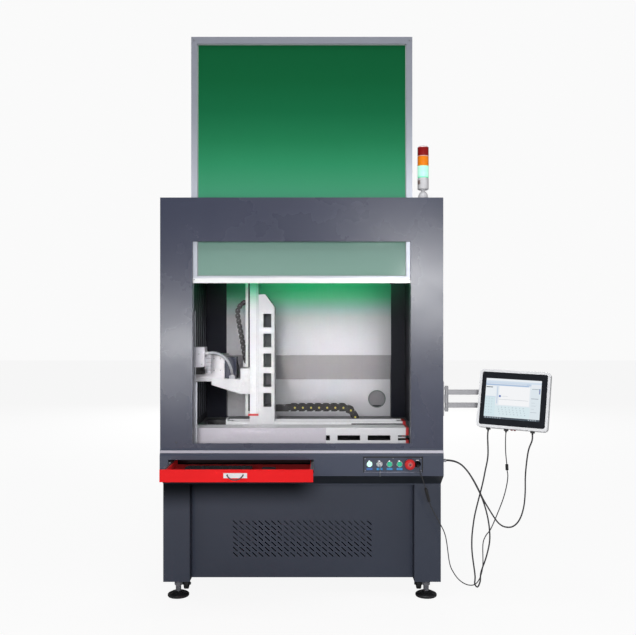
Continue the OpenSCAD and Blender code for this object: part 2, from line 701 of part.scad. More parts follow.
// ---- Gantry ----
module tee_slots(w, n) for (i = [1:n]) translate([i * w / (n + 1), 0]) {
    translate([0, -4]) square([6, 8.2], center = true);
    translate([0, -9]) square([12, 4], center = true);
}
rail_h = bed_h - profile_h - block_h;
rail_z = bed_z - rail_h;
profile_y = [bed_y, module_y + x_module_w - profile_w];
module bed_rails() color("#eeeef0") home() {
    // Work rail with two T slots
    along_x(bed_x0, bed_x1) difference() {
        rect([bed_y, bed_y + front_rail_w], [rail_z, bed_z]);
        translate([bed_y, bed_z]) tee_slots(front_rail_w, 2);
        translate([bed_y + front_rail_w / 2, rail_z + 8]) square([60, 10], center = true);
    }
    // Lower profiles and spacer blocks under both rails
    for (y = profile_y) {
        along_x(bed_x0, bed_x1) difference() {
            rect([y, y + profile_w], [deck_z, deck_z + profile_h]);
            translate([y + profile_w / 2, deck_z + profile_h / 2]) square([40, 12], center = true);
        }
        for (x = [bed_x1 - block_in:-block_pitch:bed_x0 + block_w])
            span([x - block_w / 2, x + block_w / 2], [y, y + 50], [deck_z + profile_h, rail_z]);
    }
    // Front cover over the loading end
    along_x(bed_x0, bed_x0 + cover_len)
        polygon(fold([[bed_y, bed_z - 2], [bed_y - 1.5, bed_z - 2], [bed_y - 1.5, deck_z + 4]], -2));
}
module end_caps() color("#d65555") home() for (x = [bed_x0 - cap_len, bed_x1]) {
    span([x, x + cap_len], [bed_y, bed_y + front_rail_w], [rail_z, bed_z]);
    for (y = profile_y) span([x, x + cap_len], [y, y + profile_w], [deck_z, deck_z + profile_h]);
    if (x > 0) span([x, x + cap_len], [module_y, module_y + x_module_w], [rail_z, module_top]);
}
guide_rail = [10, 10];
guide_off = 32;
screw_d = 14;
x_motor_w = 50;
sensor_len = 245;
module x_module() color("#f0f0f2") home() {
    mid = module_y + x_module_w / 2;
    floor_z = module_top - trough_h;
    difference() {
        along_x(module_x0, bed_x1) difference() {
            rect([module_y, module_y + x_module_w], [rail_z, module_top]);
            rect([module_y + trough_in, module_y + x_module_w - trough_in], [floor_z, module_top + 1]);
        }
        // Slot for the end stop sensors, just above the work rail
        span([bed_x1 - sensor_len, bed_x1 + 1], [module_y - 1, module_y + trough_in - 2],
             [bed_z - 5, bed_z + 2]);
    }
    // Two guide rails and the drive screw in the trough
    for (s = [-1, 1]) span([module_x0 + 1, bed_x1 - 1],
                           [mid + s * guide_off - guide_rail[0] / 2, mid + s * guide_off + guide_rail[0] / 2],
                           [floor_z - 0.5, floor_z + guide_rail[1]]);
    translate([module_x0 - 1, mid, floor_z + screw_d / 2 + 2]) rotate([0, 90, 0])
        cylinder(d = screw_d, h = bed_x1 - module_x0);
    for (x = [module_x0 + 2, bed_x1 - 24])
        span([x, x + 22], [mid - 22, mid + 22], [floor_z - 0.5, module_top - 2]);
    // Head plate that carries the servo motor at the loading end
    span([module_x0 - 5, module_x0 + 1], [module_y, module_y + x_module_w], [rail_z, module_top + 12]);
    span([module_x0 - 5 - x_motor_len, module_x0 - 4], [mid - x_motor_w / 2, mid + x_motor_w / 2],
         [module_top + 4 - x_motor_w, module_top + 4]);
}

window_n = 5;
window_pitch = 94.5;
window_size = [38, 66];
back_wall = 8;
side_plate = 7;
seam = 1.5;
module column() color("#f2f2f4") home() {
    x0 = column_x - column_w / 2;
    mid = module_y + x_module_w / 2;
    rail_top = module_top - trough_h + guide_rail[1];
    // Saddle with its front apron, on four carriages that straddle the guide rails
    span([z_mod_x, x0 + column_w], [column_y, column_y + column_d], [module_top + seat_gap, column_z]);
    span([z_mod_x, x0 + column_w], [column_y, module_y - slide_gap], [bed_z + 1, module_top + 1]);
    for (y = [mid - guide_off, mid + guide_off], x = [z_mod_x + 8, x0 + column_w - 38]) difference() {
        span([x, x + 30], [y - 9, y + 9], [rail_top - 8, module_top + 1]);
        span([x - 1, x + 31], [y - guide_rail[0] / 2 - seat_gap, y + guide_rail[0] / 2 + seat_gap],
             [rail_top - 9, rail_top + seat_gap]);
    }
    // Bracket for the fixed end of the Z chain
    translate([z_end[0], column_y + column_d, z_end[1]]) {
        span([-10, 10], [-1, 3], [-44, -13]);
        span([-8, 8], [2, 21 + chain_in(z_link_w)], [-24, -13]);
        span([-8, 8], [21 - chain_in(z_link_w), 21 + chain_in(z_link_w)], [-14, 4]);
    }
    difference() {
        along_y(column_y, column_y + column_d)
            polygon([[x0, column_z - 1], [x0 + column_w, column_z - 1],
                     [x0 + column_w, column_z + column_h - 60], [x0 + column_w - 44, column_z + column_h],
                     [x0, column_z + column_h]]);
        // Pockets closed by the back wall
        along_y(column_y - 1, column_y + column_d - back_wall)
            for (k = [0:window_n - 1]) translate([x0 + 23, column_z + 44 + k * window_pitch])
                translate(window_size / 2) rounded(window_size[0], window_size[1], 3);
        // Seam of the side plate that the Z module is bolted to
        span([x0 + side_plate, x0 + side_plate + seam], [column_y - 1, column_y + 2 * seam],
             [column_z + seam, column_z + column_h + 1]);
    }
}

module z_module() color("#f0f0f2") home() {
    y0 = column_y + 5;
    y1 = column_y + column_d - 5;
    along_z(z_mod_z, z_mod_z + z_module_len) difference() {
        rect([z_mod_x, z_mod_x + z_mod_w], [y0, y1]);
        rect([z_mod_x - 1, z_mod_x + 14], [y0 + 30, y1 - 30]);
    }
    // Lower end cap, standing on the saddle
    span([z_mod_x - 8, z_mod_x + z_mod_w], [y0, y1], [column_z, z_mod_z + 1]);
    // End blocks and the narrow cover strip behind the carriage
    for (z = [column_z, z_mod_z + z_module_len - z_cap_h])
        span([z_mod_x - 32, z_mod_x + 1], [y1 - 15, y1], [z, z + z_cap_h]);
    span([z_mod_x - 30, z_mod_x - 17], [y1 - 12, y1 - 8], [column_z - 13, z_mod_z + z_module_len - 8]);
    translate([z_mod_x + 8, (y0 + y1) / 2, z_mod_z + 2]) cylinder(d = 10, h = z_module_len - 4);
    for (z = [z_mod_z, z_mod_z + z_module_len - 12])
        span([z_mod_x + 1, z_mod_x + 15], [y0 + 29, y1 - 29], [z, z + 12]);
}

carriage_y0 = column_y + 2;
carriage_y1 = column_y + column_d - 24;
module z_carriage() color("#f2f2f4") home() {
    span([plate_x - 44, plate_x], [carriage_y0, carriage_y1], [carriage_z, carriage_z + carriage_h]);
    // Nut block reaching into the module's trough
    span([plate_x - 1, z_mod_x + 2], [column_y + 40, column_y + column_d - 40],
         [carriage_z + 20, carriage_z + 100]);
    // Shelf and the two gussets under it
    span([plate_x - 276, plate_x - 43], [carriage_y0, carriage_y1], [shelf_z, shelf_top]);
    for (y = [carriage_y0, carriage_y1 - 8]) along_y(y, y + 8)
        polygon([[plate_x - 43, shelf_z + 1], [plate_x - 43, carriage_z], [plate_x - 182, shelf_z - 17],
                 [plate_x - 182, shelf_z + 1]]);
    // Arm that carries the moving end of the chain
    span([plate_x - 44, plate_x - 36], [carriage_y1 - 1, z_chain_y + chain_in(z_link_w)],
         [carriage_z + carriage_h - 24, carriage_z + carriage_h]);
    span([plate_x - 44, plate_x - 26], [z_chain_y - chain_in(z_link_w), z_chain_y + chain_in(z_link_w)],
         [carriage_z + carriage_h - 4, carriage_z + carriage_h + 26]);
}

box_x = plate_x - 291;
box_w = 170;
box_d = 204;
box_h = 113;
hose_d = 9;
// Hose from the scan head to the gland on the shelf, from the gland block's corner
hose = [[-98, -108, 127], [-84, -108, 127], [-62, -101, 129], [-35, -86, 121], [-8, -66, 100], [6, -45, 73],
        [13, -25, 46], [14, -6, 32], [14, 10, 24], [14, 12, 18]];
module laser_box() color("#f4f4f4") home() {
    translate([box_x, carriage_y0 + 5, shelf_top]) span([0, box_w], [0, box_d], [seat_gap, box_h]);
    // Driver box, and the gland block in front of it
    translate([plate_x - 98.5, carriage_y0, shelf_top]) {
        span([box_x + box_w - plate_x + 98, 33], [26, 96], [seat_gap, 102]);
        span([0, 28], [0, 24], [seat_gap, 14]);
        translate([14, 12, 13]) cylinder(d = 16, h = 6);
        tube_along(hose, hose_d, 10);
    }
}

head_x = box_x - 15.5;
head_z = shelf_top + 70;
head = [110, 86, 86];
barrel_d = 104;
module scan_head() color("#e6e6ea") home() translate([head_x, carriage_y0 - 132, head_z]) {
    cube(head);
    // Side motor and its bracket
    translate([head[0] + 16, 40, -36]) cylinder(d = 28, h = 86);
    span([head[0] - 1, head[0] + 10], [26, 54], [-10, 40]);
    // Beam neck into the laser box
    span([20, 90], [head[1] - 1, 137 - seat_gap], [4, 42]);
    // Lens barrel under its mounting plate
    span([4, 106], [2, 84], [-5, 1]);
    translate([head[0] / 2, head[1] / 2, -40]) rotate_extrude() polygon([
        [0, 2], [barrel_d / 2 - 8, 2], [barrel_d / 2 - 5, 0], [barrel_d / 2, 0], [barrel_d / 2, 20],
        [barrel_d / 2 - 3, 22], [barrel_d / 2 - 3, 36], [0, 36]]);
}

// ---- Drag chains ----
// Half the free width between a link's inner ears, less its clearance
function chain_in(w) = w / 2 - 2 * w / 18 - 0.4 - seat_gap;
// A link joins the hinge at its own origin to the one a pitch further along X
module chain_link(p, h, w) {
    r = h / 2;
    inner_r = r * 0.72;
    t = w / 18;
    s = 0.4;
    stud = p * 0.12;
    bar = 2.5;
    for (d = [-1, 1]) {
        outer = d * (w / 2 - t / 2);
        inner = d * (w / 2 - t * 1.5 - s);
        // Outer ear with the hole for the next link's stud
        translate([0, outer, 0]) rotate([90, 0, 0]) linear_extrude(t, center = true) difference() {
            union() {
                translate([p, 0]) circle(r);
                translate([p / 2, -r]) square([p / 2, h]);
            }
            translate([p, 0]) circle(stud + seat_gap);
        }
        // Inner ear with its stud
        translate([0, inner, 0]) rotate([90, 0, 0]) linear_extrude(t, center = true) {
            circle(inner_r);
            translate([0, -inner_r]) square([p * 0.6, 2 * inner_r]);
        }
        translate([0, d * (w / 2 - t * 0.7), 0]) rotate([90, 0, 0])
            cylinder(r = stud, h = t * 2.4, center = true);
        span([p / 2, p * 0.64], [min(outer, inner) - t / 2, max(outer, inner) + t / 2], [-inner_r, inner_r]);
    }
    for (z = [-r, r - bar]) span([p / 2, p * 0.64], [-w / 2 + 1, w / 2 - 1], [z, z + bar]);
}
// Distance along a run, an arc and a run back, as a point in X and Z
function loop_at(s, run, r, turn) = s < run ? [s, 0]
    : let (a = min(turn, (s - run) / r * 180 / PI), over = s - run - a * PI / 180 * r)
      [run + r * sin(a) + over * cos(a), -r + r * cos(a) - over * sin(a)];
module chain(n, p, h, w, run, r, turn) for (i = [0:n - 1]) {
    a = loop_at(i * p, run, r, turn);
    b = loop_at((i + 1) * p, run, r, turn);
    translate([a[0], 0, a[1]]) rotate([0, -atan2(b[1] - a[1], b[0] - a[0]), 0]) chain_link(norm(b - a), h, w);
}
x_chain_r = 63;
x_chain_y = column_y + column_d + 36;
x_chain_run = 278;
x_chain_n = 14;
x_chain_x = column_x + column_w / 2 + 53;
module x_chain() color("#202124") home() {
    z = deck_z + 2 * x_chain_r + x_link_h / 2 + seat_gap;
    translate([x_chain_x, x_chain_y, z])
        chain(x_chain_n, x_pitch, x_link_h, x_link_w, x_chain_run, x_chain_r, 180);
    // Bracket that carries the chain from the back of the column
    span([x_chain_x - 90, x_chain_x + 10], [column_y + column_d, column_y + column_d + 4], [z - 17, z + 17]);
    span([x_chain_x - 20, x_chain_x + 10], [column_y + column_d + 3, x_chain_y + x_link_w / 2 - 8],
         [z - 2, z + 2]);
}
z_pitch = 26;
z_link_h = 22;
z_link_w = 30;
z_chain_r = 60;
z_chain_y = column_y + column_d + 21;
z_chain_lean = 10;
z_chain_run = 235;
z_chain_n = 22;
z_tail = loop_at(z_chain_n * z_pitch, z_chain_run, z_chain_r, 180 + z_chain_lean);
z_start = [plate_x - 31, carriage_z + carriage_h + 23];
z_end = z_start + [-z_tail[0] * sin(z_chain_lean) - z_tail[1] * cos(z_chain_lean),
                   z_tail[0] * cos(z_chain_lean) - z_tail[1] * sin(z_chain_lean)];
module z_chain() color("#202124") home()
    translate([z_start[0], z_chain_y, z_start[1]]) rotate([0, -90 - z_chain_lean, 0])
        chain(z_chain_n, z_pitch, z_link_h, z_link_w, z_chain_run, z_chain_r, 180 + z_chain_lean);

// ---- Monitor ----
module arm_bracket() color("#a9abb0") home() {
    z0 = bar_low - 12;
    z1 = bar_high + bar_h + 12;
    span([hw, hw + 4], [hinge_y - 8, hinge_y + 72], [z0 - 24, z1 + 24]);
    for (z = [[z0, bar_low - slide_gap], [bar_low + bar_h + slide_gap, bar_high - slide_gap],
              [bar_high + bar_h + slide_gap, z1]]) {
        translate([hinge_x, hinge_y, z[0]]) cylinder(d = 16, h = z[1] - z[0]);
        span([hw + 3, hinge_x], [hinge_y - 5, hinge_y + 5], z);
    }
    translate([hinge_x, hinge_y, z0 - 2]) cylinder(r = pin_r, h = z1 - z0 + 4);
    for (z = [z0 - 5, z1]) translate([hinge_x, hinge_y, z]) cylinder(r = 7, h = 5);
}
module arm() color("#a6a8ad") home() for (z = [bar_low, bar_high]) difference() {
    union() {
        translate([hinge_x, hinge_y, z]) cylinder(d = 16, h = bar_h);
        span([hinge_x, pan_x], [hinge_y - bar_t / 2, hinge_y + bar_t / 2], [z, z + bar_h]);
        translate([pan_x, hinge_y, z]) cylinder(d = 24, h = bar_h);
    }
    translate([hinge_x, hinge_y, z - 1]) cylinder(r = pin_r + pin_gap, h = bar_h + 2);
    translate([pan_x, hinge_y, z - 1]) cylinder(r = 5 + pin_gap, h = bar_h + 2);
}
mon_z = arm_z - 9;
// Frame of the tilt pin, turned and rolled but not tilted
module at_tilt() translate([pan_x, hinge_y, mon_z]) rotate([0, 0, mon_pan]) translate([0, -tilt_back, 0])
    rotate([0, mon_roll, 0]) children();
ear_in = 11;
module monitor_mount() color("#9c9ea3") home() {
    translate([pan_x, hinge_y, bar_low + bar_h + slide_gap]) cylinder(d = 24, h = bar_gap - 2 * slide_gap);
    translate([pan_x, hinge_y, bar_low - 4]) cylinder(r = 5, h = 2 * bar_h + bar_gap + 8);
    for (z = [bar_low - 6, bar_high + bar_h + slide_gap])
        translate([pan_x, hinge_y, z]) cylinder(r = 9, h = 6 - slide_gap);
    at_tilt() {
        span([-17, 17], [11, 16], [-12, 12]);
        span([-8, 8], [15, tilt_back - 8], [-6, 11]);
        for (s = [-1, 1]) span([s < 0 ? -17 : ear_in, s < 0 ? -ear_in : 17], [-9, 12], [-9, 9]);
        rotate([0, 90, 0]) cylinder(r = pin_r, h = 40, center = true);
    }
}
module at_monitor() at_tilt() rotate([mon_tilt, 0, 0]) children();
glass_t = 1.5;
glass_inset = 11;
back_in = 30;
module monitor_housing() color("#e4e5e8") home() at_monitor() {
    difference() {
        union() {
            // Lug on the tilt pin and its plate
            rotate([0, 90, 0]) cylinder(d = 18, h = 2 * (ear_in - slide_gap), center = true);
            span([-ear_in + slide_gap, ear_in - slide_gap], [-14.5, 0], [-9, 9]);
        }
        rotate([0, 90, 0]) cylinder(r = pin_r + pin_gap, h = 40, center = true);
    }
    along_y(-18, -14) rounded(100, 100, 6);
    along_y(-23, -17.5) rounded(mon_w - 90, mon_h - 80, 10);
    difference() {
        union() {
            along_y(-back_in - mon_t, -back_in) rounded(mon_w, mon_h, 16);
            along_y(-back_in - 1, -22.5) rounded(mon_w - 40, mon_h - 40, 12);
        }
        along_y(-back_in - mon_t - 1, -back_in - mon_t + glass_t + seat_gap)
            rounded(mon_w - 2 * glass_inset, mon_h - 2 * glass_inset, 9);
    }
}
module monitor_glass() color("#1e2226") home() at_monitor()
    along_y(-back_in - mon_t, -back_in - mon_t + glass_t)
        rounded(mon_w - 2 * glass_inset - 2 * seat_gap, mon_h - 2 * glass_inset - 2 * seat_gap, 9 - seat_gap);
plug_x = [-101, -24, 88];
plug_y = -48;
plug_h = 8;
plug_len = 14;
module monitor_plugs() color("#2a2a2c") home() at_monitor() for (x = plug_x)
    translate([x, plug_y, -mon_h / 2]) {
        span([-9, 9], [-5, 5], [-plug_h, 0]);
        translate([0, 0, -plug_len]) cylinder(d1 = 8, d2 = 9, h = plug_len - plug_h + 1);
    }

// ---- Inside the lower cabinet ----
module electronics() color("#5c6068") home() translate([0, 0, lower_rail_z + lower_rail_s + sheet_t]) {
    // Computer, laser driver and two servo drivers
    span([-430, -240], [-250, 170], [0, 400]);
    span([-120, 320], [-200, 250], [0, 133]);
    for (x = [350, 412]) span([x, x + 50], [-150, 20], [0, 170]);
}

// ---- Cords ----
gland_in = 58.5;
gland_z = 634;
gland_size = [12, 27];
cord_d = 6.5;
usb_d = 4.5;
// Oval body of the gland, from one distance outside the cabinet's side to another
module gland(grow, x0, x1) translate([hw + x0, front_y + gland_in, gland_z]) rotate([0, 90, 0])
    linear_extrude(x1 - x0)
        rounded(gland_size[0] + grow, gland_size[1] + grow, (gland_size[0] + grow) / 2 - 0.1);
// Routes from the cabinet's centre: the power and video cords leave the gland and hang to the monitor
power_route = [
    [650, -585, 634], [665, -585, 634], [692, -586, 629], [720, -588, 615], [745, -591, 590],
    [768, -595, 557], [788, -600, 521], [805, -607, 485], [822, -617, 450], [864, -643, 380],
    [888, -654, 356], [912, -662, 350], [935, -668, 355], [955, -675, 375], [969, -684, 408],
    [978, -694, 455], [980, -706, 515], [973.5, -734, 586], [970, -768, 655], [971, -798, 715],
    [982, -812, 757], [985, -807, 781]];
video_route = [
    [650, -598, 634], [665, -598, 634], [692, -600, 629], [718, -603, 616], [742, -607, 592],
    [763, -612, 561], [785, -620, 520], [803, -629, 480], [818, -638, 435], [829, -648, 385],
    [834, -658, 335], [832, -667, 285], [815, -680, 224], [790, -690, 160], [785, -694, 120],
    [773, -697, 97], [760.5, -700, 112], [761, -702, 150], [748, -706, 246], [745, -713, 310],
    [749, -717, 365], [759, -720, 430], [787, -729, 550], [798, -735, 610], [810, -738, 680],
    [809.5, -735, 761.5], [812.5, -729.5, 786.5]];
usb_route = [
    [514, -700, 627], [514, -710, 627], [516, -718, 615], [520, -720, 600], [545, -697, 530],
    [554, -690, 500], [562, -686, 470], [576, -684, 435], [614, -685, 365], [630, -686, 330],
    [639, -688, 290], [651, -694, 200], [668, -700, 160], [692, -707, 130], [722, -713, 113],
    [750, -717, 112], [770, -718, 127], [785, -719, 160], [792, -720, 205], [792, -720, 290],
    [804, -720, 327], [826, -721, 358], [855, -722, 425], [880, -724, 492], [893, -731, 550],
    [896, -740, 592], [890.5, -749, 621], [888.5, -753, 645], [881, -764, 702],
    [880, -766.5, 759], [883, -761, 784]];
module cord_power() color("#3a3b3d") home() tube_along(power_route, cord_d, 8);
module cord_video() color("#3a3b3d") home() tube_along(video_route, cord_d, 8);
module cord_usb() color("#3a3b3d") home() tube_along(usb_route, usb_d, 8);
// A round piece from one point of a route to another
module on_route(a, b, d) translate(a)
    rotate([0, acos((b[2] - a[2]) / norm(b - a)), atan2(b[1] - a[1], b[0] - a[0])])
        cylinder(d = d, h = norm(b - a));
module cord_fittings() color("#2a2a2c") home() {
    // Gland on the right side of the belt
    gland(4, 0, 3);
    gland(0, -8, 20);
    // Plug in the panel's socket, coupler and ferrite on the thin cord
    translate([control_x[5], 0, control_z - 3]) {
        span([-6, 6], [-690, plate_y + 9.5 - seat_gap], [-4, 4]);
        translate([0, -700, 0]) rotate([-90, 0, 0]) cylinder(d1 = usb_d + 1, d2 = usb_d + 3, h = 11);
    }
    on_route(usb_route[4], usb_route[6], 13);
    on_route(usb_route[26], usb_route[27], 13);
}

base_frame();
lower_front_panel();
outer_panels();
belt_shell();
ledge_trim();
deck_plate();
upper_frame();
upper_front_panel();
top_plate();
chamber_back();
door_guides();
drawer_slides();
control_plate();
switch_bodies();
tower_base();
tower_green();
tower_orange();
tower_red();
arm_bracket();
bed_rails();
x_module();
end_caps();
electronics();
caster_brackets();
door_frame();
door_window();
drawer_tray();
drawer_handle();
drawer_runners();
keyboard();
mouse();
color("#dff5ee") push_button(0);  // lamp_button
color("#2fa67c") push_button(2);  // green_button_left
color("#2fa67c") push_button(3);  // green_button_right
key_switch();
estop_head();
levelling_foot(-1, -1);  // foot_front_left
levelling_foot(1, -1);  // foot_front_right
levelling_foot(-1, 1);  // foot_rear_left
levelling_foot(1, 1);  // foot_rear_right
caster_wheel(-1, -1);  // wheel_front_left
caster_wheel(1, -1);  // wheel_front_right
caster_wheel(-1, 1);  // wheel_rear_left
caster_wheel(1, 1);  // wheel_rear_right
arm();
monitor_mount();
monitor_housing();
monitor_glass();
monitor_plugs();
column();
z_module();
x_chain();
z_carriage();
laser_box();
scan_head();
z_chain();
cord_power();
cord_video();
cord_usb();
cord_fittings();
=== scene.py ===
import math

import bmesh
import bpy
from mathutils import Matrix, Vector


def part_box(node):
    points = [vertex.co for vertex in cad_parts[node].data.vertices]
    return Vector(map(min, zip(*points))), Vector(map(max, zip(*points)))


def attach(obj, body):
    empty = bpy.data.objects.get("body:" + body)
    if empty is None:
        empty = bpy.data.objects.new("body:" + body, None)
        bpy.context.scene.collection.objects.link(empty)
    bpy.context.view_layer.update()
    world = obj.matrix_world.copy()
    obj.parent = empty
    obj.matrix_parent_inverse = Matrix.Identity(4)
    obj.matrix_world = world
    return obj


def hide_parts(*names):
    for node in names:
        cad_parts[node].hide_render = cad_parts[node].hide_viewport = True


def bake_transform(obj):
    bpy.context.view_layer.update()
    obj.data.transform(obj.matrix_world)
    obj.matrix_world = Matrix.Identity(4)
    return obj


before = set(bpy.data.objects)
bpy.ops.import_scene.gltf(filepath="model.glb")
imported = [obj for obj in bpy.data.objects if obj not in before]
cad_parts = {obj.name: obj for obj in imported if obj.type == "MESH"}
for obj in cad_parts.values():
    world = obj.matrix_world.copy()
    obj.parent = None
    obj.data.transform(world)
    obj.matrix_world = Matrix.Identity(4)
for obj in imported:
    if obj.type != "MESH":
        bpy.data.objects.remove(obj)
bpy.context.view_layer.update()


# ---- Places, in metres, from the frame ----
def low(node):
    return Vector(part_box(node)[0])


def high(node):
    return Vector(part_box(node)[1])


def middle(node):
    return (low(node) + high(node)) / 2


CABINET = Vector((middle("deck_plate").x, middle("top_plate").y, 0))
FRONT = low("upper_front_panel").y


def cab(x, y, z):
    """A place given in millimetres from the centre of the cabinet's plan and the floor."""
    return CABINET + Vector((x, y, z)) / 1000


# ---- Camera ----
CAMERA_DISTANCE = 3.6
CAMERA_SIDE = 0.0725
CAMERA_HEIGHT = 1.28
LENS = 45.8


def place_camera():
    data = bpy.data.cameras.new("camera")
    data.lens = LENS
    data.sensor_width = 36
    data.clip_end = 100
    camera = bpy.data.objects.new("camera", data)
    bpy.context.collection.objects.link(camera)
    camera.location = (CABINET.x + CAMERA_SIDE, FRONT - CAMERA_DISTANCE, CAMERA_HEIGHT)
    camera.rotation_euler = (math.pi / 2, 0, 0)
    bpy.context.scene.camera = camera


place_camera()


# ---- Finishes ----
def rgb(r, g, b):
    """A screen colour, 0 to 255, as the linear colour that a shader takes."""
    def linear(v):
        v = v / 255
        return v / 12.92 if v <= 0.04045 else ((v + 0.055) / 1.055) ** 2.4

    return (linear(r), linear(g), linear(b), 1)


def shade(colour, by):
    return tuple(min(1, c * by) for c in colour[:3]) + (1,)


class Finish:
    """A material with one shader, and the patterns that feed it."""

    def __init__(self, name, colour, rough=0.5, metal=0.0, coat=0.0):
        self.material = bpy.data.materials.new(name)
        self.material.use_nodes = True
        self.tree = self.material.node_tree
        self.shader = self.tree.nodes["Principled BSDF"]
        self.place = self.tree.nodes.new("ShaderNodeTexCoord").outputs["Object"]
        self.colour = colour
        self.rough = rough
        self.set("Base Color", colour).set("Roughness", rough).set("Metallic", metal).set("Coat Weight", coat)

    def set(self, socket, value):
        self.shader.inputs[socket].default_value = value
        return self

    def feed(self, output, socket):
        self.tree.links.new(output, self.shader.inputs[socket])
        return self

    def painted(self, output):
        self.paint = output
        return self.feed(output, "Base Color")

    def node(self, kind, **settings):
        made = self.tree.nodes.new(kind)
        for key, value in settings.items():
            setattr(made, key, value)
        return made

    def noise(self, scale, detail=4.0, stretch=None):
        made = self.node("ShaderNodeTexNoise")
        made.inputs["Scale"].default_value = scale
        made.inputs["Detail"].default_value = detail
        source = self.place
        if stretch:
            mapping = self.node("ShaderNodeMapping")
            mapping.inputs["Scale"].default_value = stretch
            self.tree.links.new(source, mapping.inputs["Vector"])
            source = mapping.outputs["Vector"]
        self.tree.links.new(source, made.inputs["Vector"])
        return made.outputs["Fac"]

    def maths(self, operation, *values):
        """One operation on outputs and plain numbers."""
        made = self.node("ShaderNodeMath", operation=operation)
        for socket, value in zip(made.inputs, values):
            if isinstance(value, (int, float)):
                socket.default_value = value
            else:
                self.tree.links.new(value, socket)
        return made.outputs["Value"]

    def axes(self):
        """The place on the piece as three outputs: across, back and up."""
        split = self.node("ShaderNodeSeparateXYZ")
        self.tree.links.new(self.place, split.inputs["Vector"])
        return tuple(split.outputs)

    def ranged(self, value, start=0.0, end=1.0, least=0.0, most=1.0, kind="LINEAR"):
        """A value carried from one range into another."""
        made = self.node("ShaderNodeMapRange", interpolation_type=kind)
        for socket, limit in (("From Min", start), ("From Max", end), ("To Min", least), ("To Max", most)):
            made.inputs[socket].default_value = limit
        self.tree.links.new(value, made.inputs["Value"])
        return made.outputs["Result"]

    def ramp(self, factor, stops):
        """A colour that follows a value through its stops."""
        made = self.node("ShaderNodeValToRGB")
        for end, (position, colour) in zip(made.color_ramp.elements, (stops[0], stops[-1])):
            end.position = position
            end.color = colour
        for position, colour in stops[1:-1]:
            made.color_ramp.elements.new(position).color = colour
        self.tree.links.new(factor, made.inputs["Fac"])
        return self.painted(made.outputs["Color"])

    def mottled(self, scale=3.0, amount=0.08, stretch=None):
        """The colour drifts a little over the surface."""
        return self.ramp(self.noise(scale, 5.0, stretch), (
            (0.3, shade(self.colour, 1 - amount)), (0.7, shade(self.colour, 1 + amount))))

    def worn(self, scale=9.0, amount=0.08, stretch=None):
        """Gloss that changes with handling and the run of the paint."""
        least, most = max(0.02, self.rough - amount), min(1.0, self.rough + amount)
        return self.feed(self.ranged(self.noise(scale, 6.0, stretch), least=least, most=most), "Roughness")

    def textured(self, scale=600.0, height=0.0002, strength=0.25, stretch=None):
        """A fine relief, such as powder coat or brushing."""
        bump = self.node("ShaderNodeBump")
        bump.inputs["Strength"].default_value = strength
        bump.inputs["Distance"].default_value = height
        self.tree.links.new(self.noise(scale, 3.0, stretch), bump.inputs["Height"])
        return self.feed(bump.outputs["Normal"], "Normal")

    def rising(self, lowest, highest, stops, drift=0.05):
        """A colour that changes with height between two levels."""
        height = self.ranged(self.axes()[2], lowest, highest)
        return self.ramp(self.maths("MULTIPLY_ADD", self.noise(2.0), drift, height), stops)

    def over(self, factor, colour):
        """Another colour laid over the paint."""
        mix = self.node("ShaderNodeMix", data_type="RGBA")
        self.tree.links.new(factor, mix.inputs["Factor"])
        self.tree.links.new(self.paint, mix.inputs[6])
        mix.inputs[7].default_value = colour
        return self.painted(mix.outputs[2])

    def dulled(self, factor):
        """No shine where the factor is one."""
        shine = "Specular IOR Level"
        usual = self.shader.inputs[shine].default_value
        return self.feed(self.ranged(factor, least=usual, most=0.02), shine)

    def within(self, colour, x=(None, None), y=(None, None), z=(None, None), dull=False):
        """Another colour between the limits given on each axis, without shine if it is dull."""
        inside = 1.0
        for place, limits in zip(self.axes(), (x, y, z)):
            for limit, test in zip(limits, ("GREATER_THAN", "LESS_THAN")):
                if limit is not None:
                    inside = self.maths("MULTIPLY", self.maths(test, place, limit), inside)
        self.over(inside, colour)
        return self.dulled(inside) if dull else self

    def shadowed(self, lowest, highest, left, right, rear, colour):
        """A painted shadow: a soft dark zone in front of a plane, which grows with height and fades towards
        its right.
        """
        across, back, up = self.axes()
        height = self.ranged(up, lowest, highest, kind="SMOOTHSTEP")
        side = self.ranged(across, right, left, kind="SMOOTHSTEP")
        front = self.maths("LESS_THAN", back, rear)
        zone = self.maths("MULTIPLY", self.maths("MULTIPLY", height, side), front)
        return self.over(zone, colour).dulled(zone)

    def lit(self, colour, strength):
        return self.set("Emission Color", colour).set("Emission Strength", strength)


def powder_coat(name, colour, rough=0.42):
    return Finish(name, colour, rough).mottled(2.5, 0.06).worn(5.0, 0.07).textured(700, 0.00015, 0.25)


def moulded(name, colour, rough=0.45):
    return Finish(name, colour, rough).mottled(30, 0.05).worn(40, 0.08).textured(1500, 0.0001, 0.15)


def brushed(name, colour, rough=0.32, along=(40, 900, 900)):
    return Finish(name, colour, rough, metal=0.9).mottled(1.0, 0.06, along).worn(1.0, 0.1, along).textured(
        1.0, 0.00008, 0.2, along)


def satin(name, colour, rough=0.45, along=(40, 900, 900)):
    """Anodised or zinc plated metal that scatters most of its light."""
    return Finish(name, colour, rough, metal=0.25).mottled(1.0, 0.05, along).worn(1.0, 0.08, along).textured(
        1.0, 0.00006, 0.15, along)


def cast_iron(name):
    return Finish(name, rgb(34, 34, 36), 0.4).mottled(25, 0.1).worn(30, 0.12).textured(400, 0.0002, 0.3)


def plated(name):
    return Finish(name, rgb(222, 224, 228), 0.14, metal=1.0).mottled(60, 0.04).worn(80, 0.05)


def jacket(name, grey, scales, drift):
    """The sleeve of a cord or a hose."""
    return Finish(name, grey, 0.5).mottled(scales[0], drift).worn(scales[1], 0.08).textured(900, 0.0001, 0.2)


